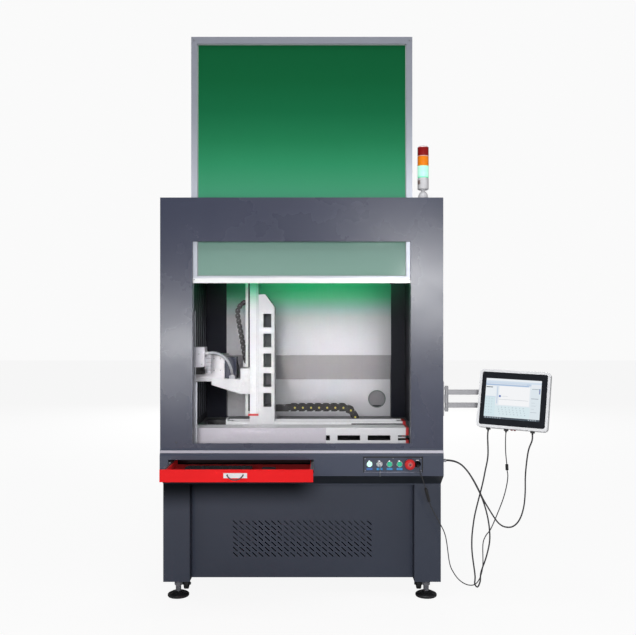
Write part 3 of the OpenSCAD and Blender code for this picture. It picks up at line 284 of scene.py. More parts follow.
DECK_TOP = high("deck_plate").z
BELT_FACE, BELT_LOW = low("belt_shell").y, low("belt_shell").z
RIGHT_SIDE, REAR = high("top_plate").x, high("top_plate").y
CABLE_HOLE = Vector((CABINET.x + 0.425, 0, DECK_TOP + 0.103))

UPPER_GREY = powder_coat("upper_grey_coat", rgb(60, 64, 83), 0.275)
# The dark colour on the chamfer under the belt's front is painted shade.
BELT_GREY = powder_coat("belt_coat", rgb(60, 66, 84), 0.42).within(
    rgb(25, 30, 36), y=(None, BELT_FACE + 0.08), z=(None, BELT_LOW + 0.0505))
LEDGE = satin("ledge_strip", rgb(188, 186, 197), 0.42, (20, 900, 900))
GUIDE = brushed("guide_channel", rgb(180, 182, 190), 0.35, (900, 900, 20))
ZINC = brushed("zinc_slide", rgb(165, 168, 175), 0.4, (900, 30, 900))
BLACK_MOULD = moulded("black_moulding", rgb(26, 26, 28), 0.5)
KEY_BLACK = moulded("key_black", rgb(13, 11, 12), 0.6)
ARM_GREY = satin("arm_bar", rgb(158, 158, 162), 0.45, (30, 900, 900))
MODULE_WHITE = powder_coat("module_white", rgb(226, 226, 230), 0.36)
WHEEL = Finish("wheel_rubber", rgb(38, 38, 40), 0.7).mottled(50, 0.1).worn(60, 0.1).textured(300, 0.0003, 0.3)
CORD_GREY = jacket("cord_jacket", rgb(50, 50, 53), (80, 120), 0.08)
HOSE_GREY = jacket("hose_grey", rgb(178, 180, 188), (60, 90), 0.06)
TOWER_GREY = moulded("tower_grey", rgb(205, 205, 208), 0.4)
LABEL_BLUE = moulded("label_blue", rgb(56, 146, 204), 0.4).within(
    rgb(62, 112, 186), x=(None, high("lamp_button").x + 0.01))
STEEL = brushed("steel_screw", rgb(150, 152, 158), 0.3, (300, 300, 300))
SOCKET_RED = moulded("socket_red", rgb(120, 40, 44), 0.4)
PANEL_BEAD = brushed("panel_bead", rgb(128, 130, 146), 0.4, (30, 900, 900))
CLIP_BROWN = moulded("clip_brown", rgb(112, 96, 92), 0.5)
JOINT_GREY = moulded("joint_grey", rgb(84, 84, 90), 0.5)
BAND_GREY = moulded("band_grey", rgb(150, 150, 156), 0.4)
SEAL_GREY = moulded("seal_grey", rgb(150, 160, 158), 0.6)
STRIP_GREY = brushed("strip_grey", rgb(176, 178, 186), 0.45, (900, 900, 20))
GREEN_SEAT = moulded("green_seat", rgb(60, 214, 160), 0.3).lit(rgb(40, 220, 150), 0.4)
AMBER_SEAT = moulded("amber_seat", rgb(226, 214, 150), 0.3)
CLEAR_SEAT = moulded("clear_seat", rgb(232, 200, 190), 0.3)
LENS_GLASS = Finish("lens_glass", rgb(30, 22, 44), 0.06, coat=0.6).mottled(12, 0.2).worn(20, 0.03).textured(
    300, 0.00002, 0.1)
RUBBER_BLACK = Finish("rubber_black", rgb(24, 24, 26), 0.6).mottled(60, 0.1).worn(60, 0.1).textured(
    500, 0.0002, 0.2)
GREEN_CAP = moulded("green_cap", rgb(40, 170, 132), 0.25).lit(rgb(30, 190, 140), 0.15)


def lower_case():
    """Painted shadow: darker below the open drawer, where little light comes."""
    lowest, full = BELT_LOW - 0.135, BELT_LOW - 0.01
    full_until, ends = high("drawer_tray").x - 0.1, high("drawer_tray").x + 0.08
    panel_rear = FRONT + 0.16
    return powder_coat("lower_grey_coat", rgb(48, 54, 69), 0.5).shadowed(
        lowest, full, full_until, ends, panel_rear, rgb(16, 19, 23))


def side_case():
    """The side coat, and the pale inner face of the rear panel behind the cable hole."""
    seen = 0.14
    return powder_coat("side_grey_coat", rgb(64, 68, 86), 0.34).within(
        rgb(176, 175, 180), x=(CABLE_HOLE.x - seen, CABLE_HOLE.x + seen), y=(REAR - 0.02, REAR - 0.002),
        z=(CABLE_HOLE.z - seen, CABLE_HOLE.z + seen))


def back_wall():
    """White, with painted green light near the top where the tinted door's light falls, and a band painted
    darker as shade.
    """
    white, band = rgb(238, 237, 242), (0.91, 1.057)
    green_starts, green_full = 1.28, 1.46
    return powder_coat("chamber_white_coat", white, 0.55).rising(green_starts, green_full, (
        (0.0, white), (0.25, rgb(222, 236, 240)), (0.7, rgb(140, 228, 194)), (1.0, rgb(118, 208, 176))),
        0.02).within(rgb(180, 178, 183), z=band)


def bed():
    """White rails, with painted shade making the gaps between their spacer blocks dark."""
    gap, skin = rgb(16, 16, 18), 0.003
    face, module = low("bed_rails").y, low("x_module").z + 0.0005
    gap_low, behind, rear_rail = DECK_TOP + 0.0235, face + 0.061, face + 0.21
    return powder_coat("rail_white", rgb(228, 228, 232), 0.36).within(
        rgb(205, 200, 210), y=(None, face + skin)).within(
        gap, y=(face + 0.004, None), z=(gap_low, module), dull=True).within(
        gap, y=(behind, rear_rail), z=(None, module))


def x_module():
    """White, with its black motor on the left and painted shade darkening the slot of the cover on the right.
    """
    face, rail_top = low("x_module").y, high("bed_rails").z
    motor_right, slot_left = low("x_module").x + 0.0925, high("x_module").x - 0.2451
    slot_deep, slot_high = (face + 0.0003, face + 0.0062), (rail_top - 0.0051, rail_top + 0.0021)
    return powder_coat("x_module_white", rgb(232, 232, 235), 0.36).within(
        rgb(22, 22, 25), x=(None, motor_right)).within(
        rgb(20, 20, 23), x=(slot_left, None), y=slot_deep, z=slot_high)


def z_module():
    """White, with the tinted door's green light painted at the top, a paler cover strip and a red cap."""
    white, cap_height = rgb(226, 226, 230), 0.0116
    strip, cap = high("z_module").x - 0.05, low("z_module").z + 0.012
    green_starts, green_full = 1.31, 1.425
    return powder_coat("z_module_white", white, 0.36).rising(green_starts, green_full, (
        (0.0, white), (0.3, rgb(206, 222, 216)), (0.62, rgb(158, 212, 186)), (1.0, rgb(96, 246, 190))),
        0.03).within(rgb(236, 240, 238), x=(None, strip)).within(
        rgb(206, 52, 54), x=(strip, None), z=(cap, cap + cap_height))


def column():
    """White, with painted shade darkening its pockets."""
    pocket_left = high("z_module").x + 0.0225
    pocket_w, skin = 0.039, 0.001
    return powder_coat("column_white", rgb(218, 218, 222), 0.36).within(
        rgb(84, 86, 90), x=(pocket_left, pocket_left + pocket_w), y=(low("column").y + skin, None))


def scan_head():
    """White, with a black lens barrel and a grey side motor."""
    barrel_right, motor_left = low("scan_head").x + 0.109, low("scan_head").x + 0.1115
    barrel_top = low("scan_head").z + 0.0345
    return powder_coat("head_white", rgb(206, 205, 214), 0.36).within(
        rgb(14, 14, 16), x=(None, barrel_right), z=(None, barrel_top)).within(
        rgb(188, 188, 195), x=(motor_left, None))


def laser_box():
    """White, with a dark blue driver box beside it, a grey front face and a grey gland block."""
    grey, face = rgb(176, 178, 187), low("z_carriage").y
    left, right = low("laser_box").x, low("laser_box").x + 0.17
    face_rear, driver_front, gland_low = face + 0.004, face + 0.0245, low("laser_box").z + 0.0225
    return powder_coat("laser_white", rgb(228, 226, 232), 0.36).within(
        rgb(38, 44, 66), x=(right + 0.0002, None), y=(driver_front, None)).within(
        grey, x=(left, None), y=(None, face_rear)).within(
        grey, x=(right + 0.02, None), y=(face_rear - 0.0001, driver_front - 0.0001), z=(gland_low, None))


def x_chain():
    """Black links with yellow stud ends."""
    stud_end, stud_foot = low("x_chain").y + 0.0045, low("x_chain").y + 0.0067
    return moulded("x_chain_black", rgb(30, 27, 31), 0.42).within(
        rgb(222, 208, 96), y=(stud_end, stud_foot))


def z_chain():
    """Black links with stud ends painted light as highlights."""
    stud_foot = low("z_chain").y + 0.0005
    return moulded("z_chain_black", rgb(28, 25, 29), 0.42).within(
        rgb(112, 110, 116), y=(None, stud_foot))


def drawer_tray():
    """Red, with painted light making it paler inside at the front, and painted shade where it runs into the
    case.
    """
    case, skin = CABINET.y - 0.51, 0.0035
    return powder_coat("drawer_red_coat", rgb(230, 17, 23), 0.5).within(
        rgb(250, 66, 70), y=(low("drawer_tray").y + skin, case)).within(
        rgb(34, 14, 16), y=(case, None)).set("Specular IOR Level", 0.2)


def duct_ribs():
    """Grey ribs painted darker and green towards the upper end of the wall, as shade and as the tinted door's
    light.
    """
    grey, rib_low, rib_top = rgb(150, 152, 162), 1.0, 1.42
    return moulded("duct_grey", grey, 0.4).rising(rib_low, rib_top, (
        (0.0, grey), (0.5, grey), (0.85, rgb(60, 72, 68)), (1.0, rgb(22, 44, 34))), 0.05)


def door_metal():
    """Anodised extrusion, with painted shading that darkens towards the raised end, and a white lower rail.
    """
    grain = (60, 900, 60)
    return Finish("door_extrusion", rgb(160, 164, 175), 0.4, metal=0.35).rising(
        low("door_frame").z, high("door_frame").z, (
            (0.0, rgb(222, 223, 224)), (0.03, rgb(222, 223, 224)), (0.032, rgb(178, 182, 192)),
            (0.4, rgb(188, 192, 204)), (0.7, rgb(150, 155, 166)), (1.0, rgb(134, 137, 148))), 0.02).worn(
        1.0, 0.1, grain).textured(1.0, 0.00008, 0.2, grain)


def door_pane():
    """Tinted clear sheet, deep at the top, with painted light making it paler towards its lower edge."""
    clear = Finish("tinted_sheet", rgb(14, 92, 50), 0.12).set("Specular IOR Level", 0.12).set("Alpha", 0.97)
    return clear.rising(
        low("door_window").z, high("door_window").z, (
            (0.0, rgb(130, 162, 151)), (0.15, rgb(122, 154, 144)), (0.24, rgb(90, 156, 130)),
            (0.34, rgb(72, 150, 118)), (0.41, rgb(62, 146, 108)), (0.5, rgb(46, 136, 94)),
            (0.6, rgb(32, 117, 76)), (0.72, rgb(20, 99, 61)), (0.85, rgb(14, 88, 51)),
            (1.0, rgb(11, 81, 46))), 0.03).worn(6.0, 0.04).textured(3.0, 0.002, 0.05)


def lens(name, colour, glow, light=None):
    """Clear moulding with fine ribs round it, which glows in its own colour or in another."""
    ribs = (0.01, 0.01, 520)
    return Finish(name, colour, 0.16, coat=0.5).mottled(40, 0.06).worn(60, 0.05).textured(
        1.0, 0.0012, 0.6, ribs).lit(light or colour, glow)


def stop_mark():
    """Pale, with a dark stroke in the middle."""
    left, level = low("estop_head").x, middle("estop_head").z
    return moulded("stop_mark", rgb(176, 150, 152), 0.4).within(
        rgb(60, 20, 24), x=(left + 0.0195, left + 0.0275), z=(level - 0.004, level + 0.004))


LOWER_GREY = lower_case()
FINISH_OF = {
    "base_frame": LOWER_GREY,
    "lower_front_panel": LOWER_GREY,
    "outer_panels": side_case(),
    "belt_shell": BELT_GREY,
    "control_plate": BELT_GREY,
    "ledge_trim": LEDGE,
    # The deck's front part is painted dark as shade, where it shows through the bed's gaps.
    "deck_plate": powder_coat("deck_coat", rgb(150, 148, 154), 0.5).within(
        rgb(30, 31, 35), y=(None, CABINET.y - 0.28), dull=True),
    "upper_frame": powder_coat("chamber_dark_coat", rgb(45, 46, 57), 0.42),
    "upper_front_panel": UPPER_GREY,
    "top_plate": UPPER_GREY,
    "chamber_back": back_wall(),
    "electronics": powder_coat("unit_case", rgb(96, 100, 108), 0.45),
    "door_guides": GUIDE,
    "door_frame": door_metal(),
    "door_window": door_pane(),
    "drawer_tray": drawer_tray(),
    "drawer_slides": ZINC,
    "drawer_runners": ZINC,
    "drawer_handle": powder_coat("handle_plate", rgb(226, 226, 228), 0.3).within(
        rgb(58, 58, 62), y=(None, high("drawer_handle").y - 0.0025)),
    "keyboard": KEY_BLACK,
    "mouse": KEY_BLACK,
    "lamp_button": moulded("lamp_cap", rgb(205, 246, 228), 0.25).lit(rgb(170, 245, 215), 0.65),
    "green_button_left": GREEN_CAP,
    "green_button_right": GREEN_CAP,
    "key_switch": plated("bright_ring"),
    "switch_bodies": plated("switch_ring").within(rgb(20, 20, 22), x=(high("switch_bodies").x - 0.04, None)),
    "estop_head": moulded("stop_red", rgb(200, 30, 32), 0.3),
    "tower_base": TOWER_GREY,
    "tower_green": lens("lens_green", rgb(158, 232, 204), 0.42, rgb(200, 255, 232)),
    "tower_orange": lens("lens_orange", rgb(236, 128, 8), 0.1),
    "tower_red": lens("lens_red", rgb(140, 8, 10), 0.03).within(
        rgb(236, 214, 216), z=(high("tower_red").z - 0.0092, None)),
    "arm_bracket": ARM_GREY,
    "arm": ARM_GREY,
    "monitor_mount": ARM_GREY,
    "monitor_housing": moulded("monitor_white", rgb(228, 229, 232), 0.35),
    "monitor_glass": moulded("screen_border", rgb(26, 29, 35), 0.12),
    "monitor_plugs": BLACK_MOULD,
    "cord_fittings": moulded("fitting_black", rgb(26, 26, 28), 0.5).within(
        rgb(150, 152, 158), x=(RIGHT_SIDE - 0.001, RIGHT_SIDE + 0.022), y=(None, REAR)),
    "bed_rails": bed(),
    "x_module": x_module(),
    "end_caps": moulded("cap_red", rgb(206, 60, 62), 0.4),
    "x_chain": x_chain(),
    "column": column(),
    "z_module": z_module(),
    "z_carriage": MODULE_WHITE,
    "z_chain": z_chain(),
    "laser_box": laser_box(),
    "scan_head": scan_head(),
    "caster_brackets": cast_iron("caster_black"),
}
FOOT_BODY = {"front_left": "foot_fl", "front_right": "foot_fr", "rear_left": "foot_rl",
             "rear_right": "foot_rr"}
PAD_TOP = 0.0245
for corner in FOOT_BODY:
    FINISH_OF["wheel_" + corner] = WHEEL
    FINISH_OF["foot_" + corner] = cast_iron("foot_coat_" + corner).within(
        rgb(104, 104, 110), z=(PAD_TOP, None))

for node, finish in FINISH_OF.items():
    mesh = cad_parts[node].data
    mesh.materials.clear()
    mesh.materials.append(finish.material)


# ---- Making meshes ----
def piece(name, mesh_data, finish, body):
    """A finished mesh becomes an object that rides on a body."""
    made = bpy.data.objects.new(name, mesh_data)
    bpy.context.collection.objects.link(made)
    mesh_data.materials.clear()
    mesh_data.materials.append(finish.material)
    if body:
        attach(made, body)
    return made


def mesh_of(bm, name, smooth=True):
    bmesh.ops.recalc_face_normals(bm, faces=bm.faces)
    data = bpy.data.meshes.new(name)
    bm.to_mesh(data)
    bm.free()
    for face in data.polygons:
        face.use_smooth = smooth
    if smooth:
        data.set_sharp_from_angle(angle=math.radians(35))
    return data


def finished(name, bm, finish, body, smooth=True):
    return piece(name, mesh_of(bm, name, smooth), finish, body)


def rounded_block(lowest, highest, edge, bm=None, segments=2):
    """A box between two corners, with its edges rounded."""
    bm = bm or bmesh.new()
    lowest, highest = Vector(lowest), Vector(highest)
    verts = bmesh.ops.create_cube(bm, size=1.0)["verts"]
    bmesh.ops.scale(bm, vec=highest - lowest, verts=verts)
    bmesh.ops.translate(bm, vec=(lowest + highest) / 2, verts=verts)
    edges = list({e for v in verts for e in v.link_edges})
    bmesh.ops.bevel(bm, geom=edges, offset=edge, offset_type="OFFSET", segments=segments, profile=0.5,
                    affect="EDGES", material=-1)
    return bm


def put(bm, verts, at, direction):
    """Turns what stands upright at the origin to face a direction, and moves it into place."""
    turn = Vector((0, 0, 1)).rotation_difference(Vector(direction)).to_matrix()
    bmesh.ops.rotate(bm, cent=(0, 0, 0), matrix=turn, verts=verts)
    bmesh.ops.translate(bm, vec=at, verts=verts)


def turned(bm, geometry, old, at, direction, steps):
    """Spins an outline about the upright line, closes it and puts it in place."""
    bmesh.ops.spin(bm, geom=geometry, axis=(0, 0, 1), cent=(0, 0, 0), angle=2 * math.pi, steps=steps,
                   use_merge=True, use_duplicate=False)
    bmesh.ops.remove_doubles(bm, verts=[v for v in bm.verts if v not in old], dist=1e-6)
    put(bm, [v for v in bm.verts if v not in old], at, direction)
    return bm


def lathe(outline, at, direction=(0, 0, 1), steps=24, bm=None):
    """A profile of radius and height, turned about a line through a place."""
    bm = bm or bmesh.new()
    old = set(bm.verts)
    verts = [bm.verts.new((r, 0, h)) for r, h in outline]
    edges = [bm.edges.new(pair) for pair in zip(verts, verts[1:])]
    return turned(bm, verts + edges, old, at, direction, steps)


def ring(radius, width, at, direction, bm=None, steps=32):
    """A round bar bent to a ring about a line through a place."""
    bm = bm or bmesh.new()
    old = set(bm.verts)
    verts = bmesh.ops.create_circle(bm, segments=10, radius=width / 2)["verts"]
    bmesh.ops.rotate(bm, cent=(0, 0, 0), matrix=Matrix.Rotation(math.pi / 2, 3, "X"), verts=verts)
    bmesh.ops.translate(bm, vec=(radius, 0, 0), verts=verts)
    edges = list({e for v in verts for e in v.link_edges})
    return turned(bm, verts + edges, old, at, direction, steps)


def screws(name, places, direction, radius, body):
    """Pan heads with a round socket, all facing one way."""
    bm = bmesh.new()
    h = radius * 0.55
    outline = [(0, h * 0.35), (radius * 0.42, h * 0.35), (radius * 0.47, h * 0.92), (radius * 0.8, h),
               (radius, h * 0.55), (radius, 0), (radius * 0.6, -h * 0.3), (0, -h * 0.3)]
    for place in places:
        lathe(outline, place, direction, 14, bm)
    return finished(name, bm, STEEL, body)


# ---- Cords ----
POWER_ROUTE = [
    (650, -585, 634), (665, -585, 634), (692, -586, 629), (720, -588, 615), (745, -591, 590),
    (768, -595, 557), (788, -600, 521), (805, -607, 485), (822, -617, 450), (864, -643, 380),
    (888, -654, 356), (912, -662, 350), (935, -668, 355), (955, -675, 375), (969, -684, 408),
    (978, -694, 455), (980, -706, 515), (973.5, -734, 586), (970, -768, 655), (971, -798, 715),
    (982, -812, 757), (985, -807, 781)]
VIDEO_ROUTE = [
    (650, -598, 634), (665, -598, 634), (692, -600, 629), (718, -603, 616), (742, -607, 592),
    (763, -612, 561), (785, -620, 520), (803, -629, 480), (818, -638, 435), (829, -648, 385),
    (834, -658, 335), (832, -667, 285), (815, -680, 224), (790, -690, 160), (785, -694, 120),
    (773, -697, 97), (760.5, -700, 112), (761, -702, 150), (748, -706, 246), (745, -713, 310),
    (749, -717, 365), (759, -720, 430), (787, -729, 550), (798, -735, 610), (810, -738, 680),
    (809.5, -735, 761.5), (812.5, -729.5, 786.5)]
USB_ROUTE = [
    (514, -700, 627), (514, -710, 627), (516, -718, 615), (520, -720, 600), (545, -697, 530),
    (554, -690, 500), (562, -686, 470), (576, -684, 435), (614, -685, 365), (630, -686, 330),
    (639, -688, 290), (651, -694, 200), (668, -700, 160), (692, -707, 130), (722, -713, 113),
    (750, -717, 112), (770, -718, 127), (785, -719, 160), (792, -720, 205), (792, -720, 290),
    (804, -720, 327), (826, -721, 358), (855, -722, 425), (880, -724, 492), (893, -731, 550),
    (896, -740, 592), (890.5, -749, 621), (888.5, -753, 645), (881, -764, 702), (880, -766.5, 759),
    (883, -761, 784)]
CORD_D = 0.0065
USB_D = 0.0045


def eased(points, steps=6):
    """A smooth line through the points, with steps between each two."""
    line = []
    for i in range(len(points) - 1):
        a, b, c, d = (points[max(i - 1, 0)], points[i], points[i + 1], points[min(i + 2, len(points) - 1)])
        for k in range(steps):
            t = k / steps
            line.append(0.5 * ((2 * b) + (c - a) * t + (2 * a - 5 * b + 4 * c - d) * t ** 2
                               + (3 * b - a - 3 * c + d) * t ** 3))
    line.append(points[-1])
    return line


def tube(name, line, width, sides=10):
    """A round tube swept along a line, as a mesh."""
    curve = bpy.data.curves.new(name, "CURVE")
    curve.dimensions = "3D"
    curve.bevel_depth = width / 2
    curve.bevel_resolution = max(1, sides // 4)
    curve.use_fill_caps = True
    spline = curve.splines.new("POLY")
    spline.points.add(len(line) - 1)
    for point, at in zip(spline.points, line):
        point.co = (*at, 1)
    maker = bpy.data.objects.new(name + "_line", curve)
    bpy.context.collection.objects.link(maker)
    bpy.context.view_layer.update()
    data = bpy.data.meshes.new_from_object(maker.evaluated_get(bpy.context.evaluated_depsgraph_get()))
    data.name = name
    bpy.data.objects.remove(maker)
    bpy.data.curves.remove(curve)
    for face in data.polygons:
        face.use_smooth = True
    return data


def hanging_cord(name, route, width, node):
    line = eased([cab(*point) for point in route])
    made = piece(name, tube(name, line, width), CORD_GREY, None)
    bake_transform(made)
    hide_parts(node)


hanging_cord("power_cord", POWER_ROUTE, CORD_D, "cord_power")
hanging_cord("video_cord", VIDEO_ROUTE, CORD_D, "cord_video")
hanging_cord("usb_cord", USB_ROUTE, USB_D, "cord_usb")


def chain_part(node, name, keep):
    """A copy of a chain with only the links whose middle is kept."""
    bm = bmesh.new()
    bm.from_mesh(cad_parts[node].data)
    bmesh.ops.remove_doubles(bm, verts=bm.verts, dist=1e-6)
    left = set(bm.verts)
    unwanted = []
    while left:
        link, stack = set(), [left.pop()]
        while stack:
            vert = stack.pop()
            link.add(vert)
            near = {e.other_vert(vert) for e in vert.link_edges} & left
            left -= near
            stack.extend(near)
        ends = [(min(v.co[i] for v in link), max(v.co[i] for v in link)) for i in range(3)]
        if not keep(Vector([sum(pair) / 2 for pair in ends])):
            unwanted.extend(link)
    bmesh.ops.delete(bm, geom=unwanted, context="VERTS")
    data = bpy.data.meshes.new(name)
    bm.to_mesh(data)
    bm.free()
    return piece(name, data, FINISH_OF[node], None)


def x_drag_chain():
    """Upper run on the carriage, the bend at half its travel, and the lower run laid on the deck."""
    link_h, radius = 0.036, 0.063
    fixed, carried = CABINET.x + 0.112, CABINET.x - 0.082
    turn = high("x_chain").x - radius - link_h / 2
    y, z = middle("x_chain").y, middle("x_chain").z
    upper = chain_part("x_chain", "x_chain_upper_run", lambda at: carried < at.x < turn and at.z > z)
    bend = chain_part("x_chain", "x_chain_bend", lambda at: at.x >= turn)
    lower = chain_part("x_chain", "x_chain_lower_run", lambda at: carried < at.x < turn and at.z <= z)
    bracket = chain_part("x_chain", "x_chain_bracket", lambda at: at.x <= carried)
    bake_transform(upper)
    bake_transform(bend)
    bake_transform(lower)
    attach(bracket, "x_carriage")
    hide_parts("x_chain")


def z_drag_chain():
    """Run carried by the head, the loop at half its travel, and the run fixed to the column."""
    link_h, radius, slack = 0.022, 0.06, 0.006
    top = high("z_chain").z - radius - link_h / 2
    x, y = high("z_chain").x - link_h / 2 - radius, middle("z_chain").y

    def on_head(at):
        return at.x < x and at.z < top - slack

    def on_column(at):
        return at.x >= x and at.z < top

    carried = chain_part("z_chain", "z_chain_moving_run", on_head)
    loop = chain_part("z_chain", "z_chain_loop", lambda at: not on_head(at) and not on_column(at))
    fixed = chain_part("z_chain", "z_chain_fixed_run", on_column)
    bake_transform(carried)
    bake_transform(loop)
    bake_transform(fixed)
    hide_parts("z_chain")


x_drag_chain()
z_drag_chain()


# ---- Monitor ----
SCREEN_PAN, SCREEN_LEAN, SCREEN_ROLL = -24, -14, 1.7
PAN_PIN = cab(967, -640, 909)
TILT_BACK, GLASS_OUT = 0.064, 0.07
AT_SCREEN = (Matrix.Translation(PAN_PIN) @ Matrix.Rotation(math.radians(SCREEN_PAN), 4, "Z")
             @ Matrix.Translation((0, -TILT_BACK, 0)) @ Matrix.Rotation(math.radians(SCREEN_ROLL), 4, "Y")
             @ Matrix.Rotation(math.radians(SCREEN_LEAN), 4, "X"))
PAGE_LEFT, PAGE_RIGHT, PAGE_TOP, PAGE_BOTTOM = -0.1207, 0.1157, 0.0877, -0.0877

PALE, BLUE_GREY, MID_BLUE, SOFT_GREY = (232, 239, 245), (196, 212, 232), (160, 186, 220), (178, 186, 194)
WHITE, POOL, DARK = (250, 251, 253), (216, 235, 241), (62, 74, 84)
# Areas of the screen's page: left, top, right and bottom as shares of it, and a colour
PAGE_AREAS = [
    (0, 0, 1, 1, PALE), (0, 0, 1, 0.055, (240, 245, 250)), (0, 0.055, 1, 0.1, (214, 228, 242)),
    (0, 0.1, 0.82, 0.15, BLUE_GREY), (0, 0.15, 0.78, 0.17, MID_BLUE), (0.82, 0.1, 1, 0.17, (236, 241, 247)),
    (0, 0.2, 0.19, 0.44, (240, 246, 250)), (0, 0.45, 0.19, 0.46, BLUE_GREY), (0, 0.46, 0.19, 0.95, POOL),
    (0.01, 0.21, 0.13, 0.23, DARK), (0.21, 0.19, 0.225, 0.62, BLUE_GREY), (0.25, 0.18, 0.8, 0.65, WHITE),
    (0.25, 0.51, 0.78, 0.517, SOFT_GREY), (0.255, 0.43, 0.41, 0.436, SOFT_GREY),
    (0.25, 0.41, 0.285, 0.46, (92, 122, 190)), (0.19, 0.67, 0.82, 0.95, (222, 238, 243)),
    (0.82, 0.2, 1, 0.95, (226, 236, 242)), (0.84, 0.21, 0.97, 0.218, DARK),
    (0.965, 0.2, 0.985, 0.33, (110, 140, 190)), (0.97, 0.25, 0.98, 0.3, (170, 90, 110)),
    (0.83, 0.44, 0.96, 0.46, SOFT_GREY), (0.83, 0.78, 0.94, 0.79, SOFT_GREY),
    (0.84, 0.55, 0.9, 0.556, SOFT_GREY), (0.84, 0.62, 0.92, 0.626, SOFT_GREY),
    (0.84, 0.7, 0.89, 0.706, SOFT_GREY), (0, 0.955, 1, 1, DARK)]


def small_marks(columns, rows, start, step, size, colour, slant=0.0):
    """A grid of equal bars on the page."""
    return [(start[0] + step[0] * i + slant * k, start[1] + step[1] * k,
             start[0] + size[0] + step[0] * i + slant * k, start[1] + size[1] + step[1] * k, colour(i, k))
            for i in range(columns) for k in range(rows)]


PAGE_AREAS += small_marks(7, 1, (0.02, 0.968), (0.045, 0), (0.018, 0.02), lambda i, k: (204, 214, 222))
PAGE_AREAS += small_marks(4, 1, (0.8, 0.968), (0.04, 0), (0.02, 0.02), lambda i, k: (200, 210, 218))
PAGE_AREAS += small_marks(36, 1, (0.02, 0.11), (0.02, 0), (0.01, 0.025), lambda i, k: (236, 242, 248))
PAGE_AREAS += small_marks(3, 6, (0.02, 0.5), (0.05, 0.07), (0.015, 0.012), lambda i, k: SOFT_GREY)
PAGE_AREAS += small_marks(8, 4, (0.24, 0.7), (0.065, 0.055), (0.015, 0.014),
                          lambda i, k: (150, 162, 172) if (i + k) % 3 else (186, 200, 210), 0.012)


def screen_page():
    """The lit page of the screen: flat areas, bars and marks with no lettering."""
    bm = bmesh.new()
    shown = bm.loops.layers.float_color.new("shown")
    wide, tall = PAGE_RIGHT - PAGE_LEFT, PAGE_TOP - PAGE_BOTTOM
    for left, top, right, bottom, colour in PAGE_AREAS:
        old = set(bm.faces)
        share = (right - left) * (bottom - top)
        proud = 0.0003 if share > 0.9 else 0.0004 if share > 0.02 else 0.0005
        rounded_block((PAGE_LEFT + left * wide, -GLASS_OUT - proud, PAGE_TOP - bottom * tall),
                      (PAGE_LEFT + right * wide, -GLASS_OUT + 0.0001, PAGE_TOP - top * tall), 0.00005, bm, 1)
        for face in set(bm.faces) - old:
            for loop in face.loops:
                loop[shown] = rgb(*colour)
    lit = Finish("lit_page", rgb(30, 32, 36), 0.12, coat=0.4).set("Emission Strength", 0.93)
    lit.feed(lit.node("ShaderNodeAttribute", attribute_name="shown").outputs["Color"], "Emission Color")
    in_monitor(bm, "screen_page", lit.worn(20, 0.03).textured(2000, 0.00002, 0.1), False)


def in_monitor(bm, name, finish, smooth=True):
    """A piece made about the tilt pin, set in the monitor's own lean and turn."""
    data = mesh_of(bm, name, smooth)
    data.transform(AT_SCREEN)
    return piece(name, data, finish, "monitor")


def monitor_details():
    screen_page()
    # Vents and screws of the rear cover
    bm = bmesh.new()
    for i in range(14):
        rounded_block((-0.065 + 0.01 * i, -0.0232, 0.05), (-0.061 + 0.01 * i, -0.0222, 0.078), 0.0003, bm, 1)
    in_monitor(bm, "monitor_vent_slots", BLACK_MOULD)
    bm = bmesh.new()
    head = [(0, 0.0006), (0.0015, 0.0006), (0.003, 0.0016), (0.0038, 0.0008), (0.0038, -0.001), (0, -0.001)]
    for x in (-0.098, 0.098):
        for z in (-0.079, 0.079):
            lathe(head, (x, -0.0226, z), (0, 1, 0), 12, bm)
    in_monitor(bm, "monitor_rear_screws", STEEL)
    # Small round connectors beside the middle plug
    bm = bmesh.new()
    socket = [(0, -0.005), (0.0045, -0.005), (0.0048, -0.004), (0.0048, 0.002), (0, 0.002)]
    for x in (0.0, 0.013):
        lathe(socket, (x, -0.05, -0.127), (0, 0, 1), 16, bm)
    in_monitor(bm, "monitor_small_sockets", SOCKET_RED)


monitor_details()


# ---- Control panel ----
PLATE_FRONT = low("control_plate").y
CONTROLS_Z = middle("switch_bodies").z
CONTROL_PITCH = 0.0445
CONTROL_X = [low("lamp_button").x + 0.011 + CONTROL_PITCH * i for i in range(5)]
CUT_LEFT, CUT_RIGHT = low("control_plate").x + 0.003, high("control_plate").x - 0.003
CUT_LOW, CUT_TOP = low("control_plate").z + 0.003, high("control_plate").z - 0.0015


def on_panel(left, bottom, right, top, proud, edge, bm=None, segments=2):
    """A low block on the panel's face."""
    return rounded_block((left, PLATE_FRONT - proud, bottom), (right, PLATE_FRONT, top), edge, bm, segments)


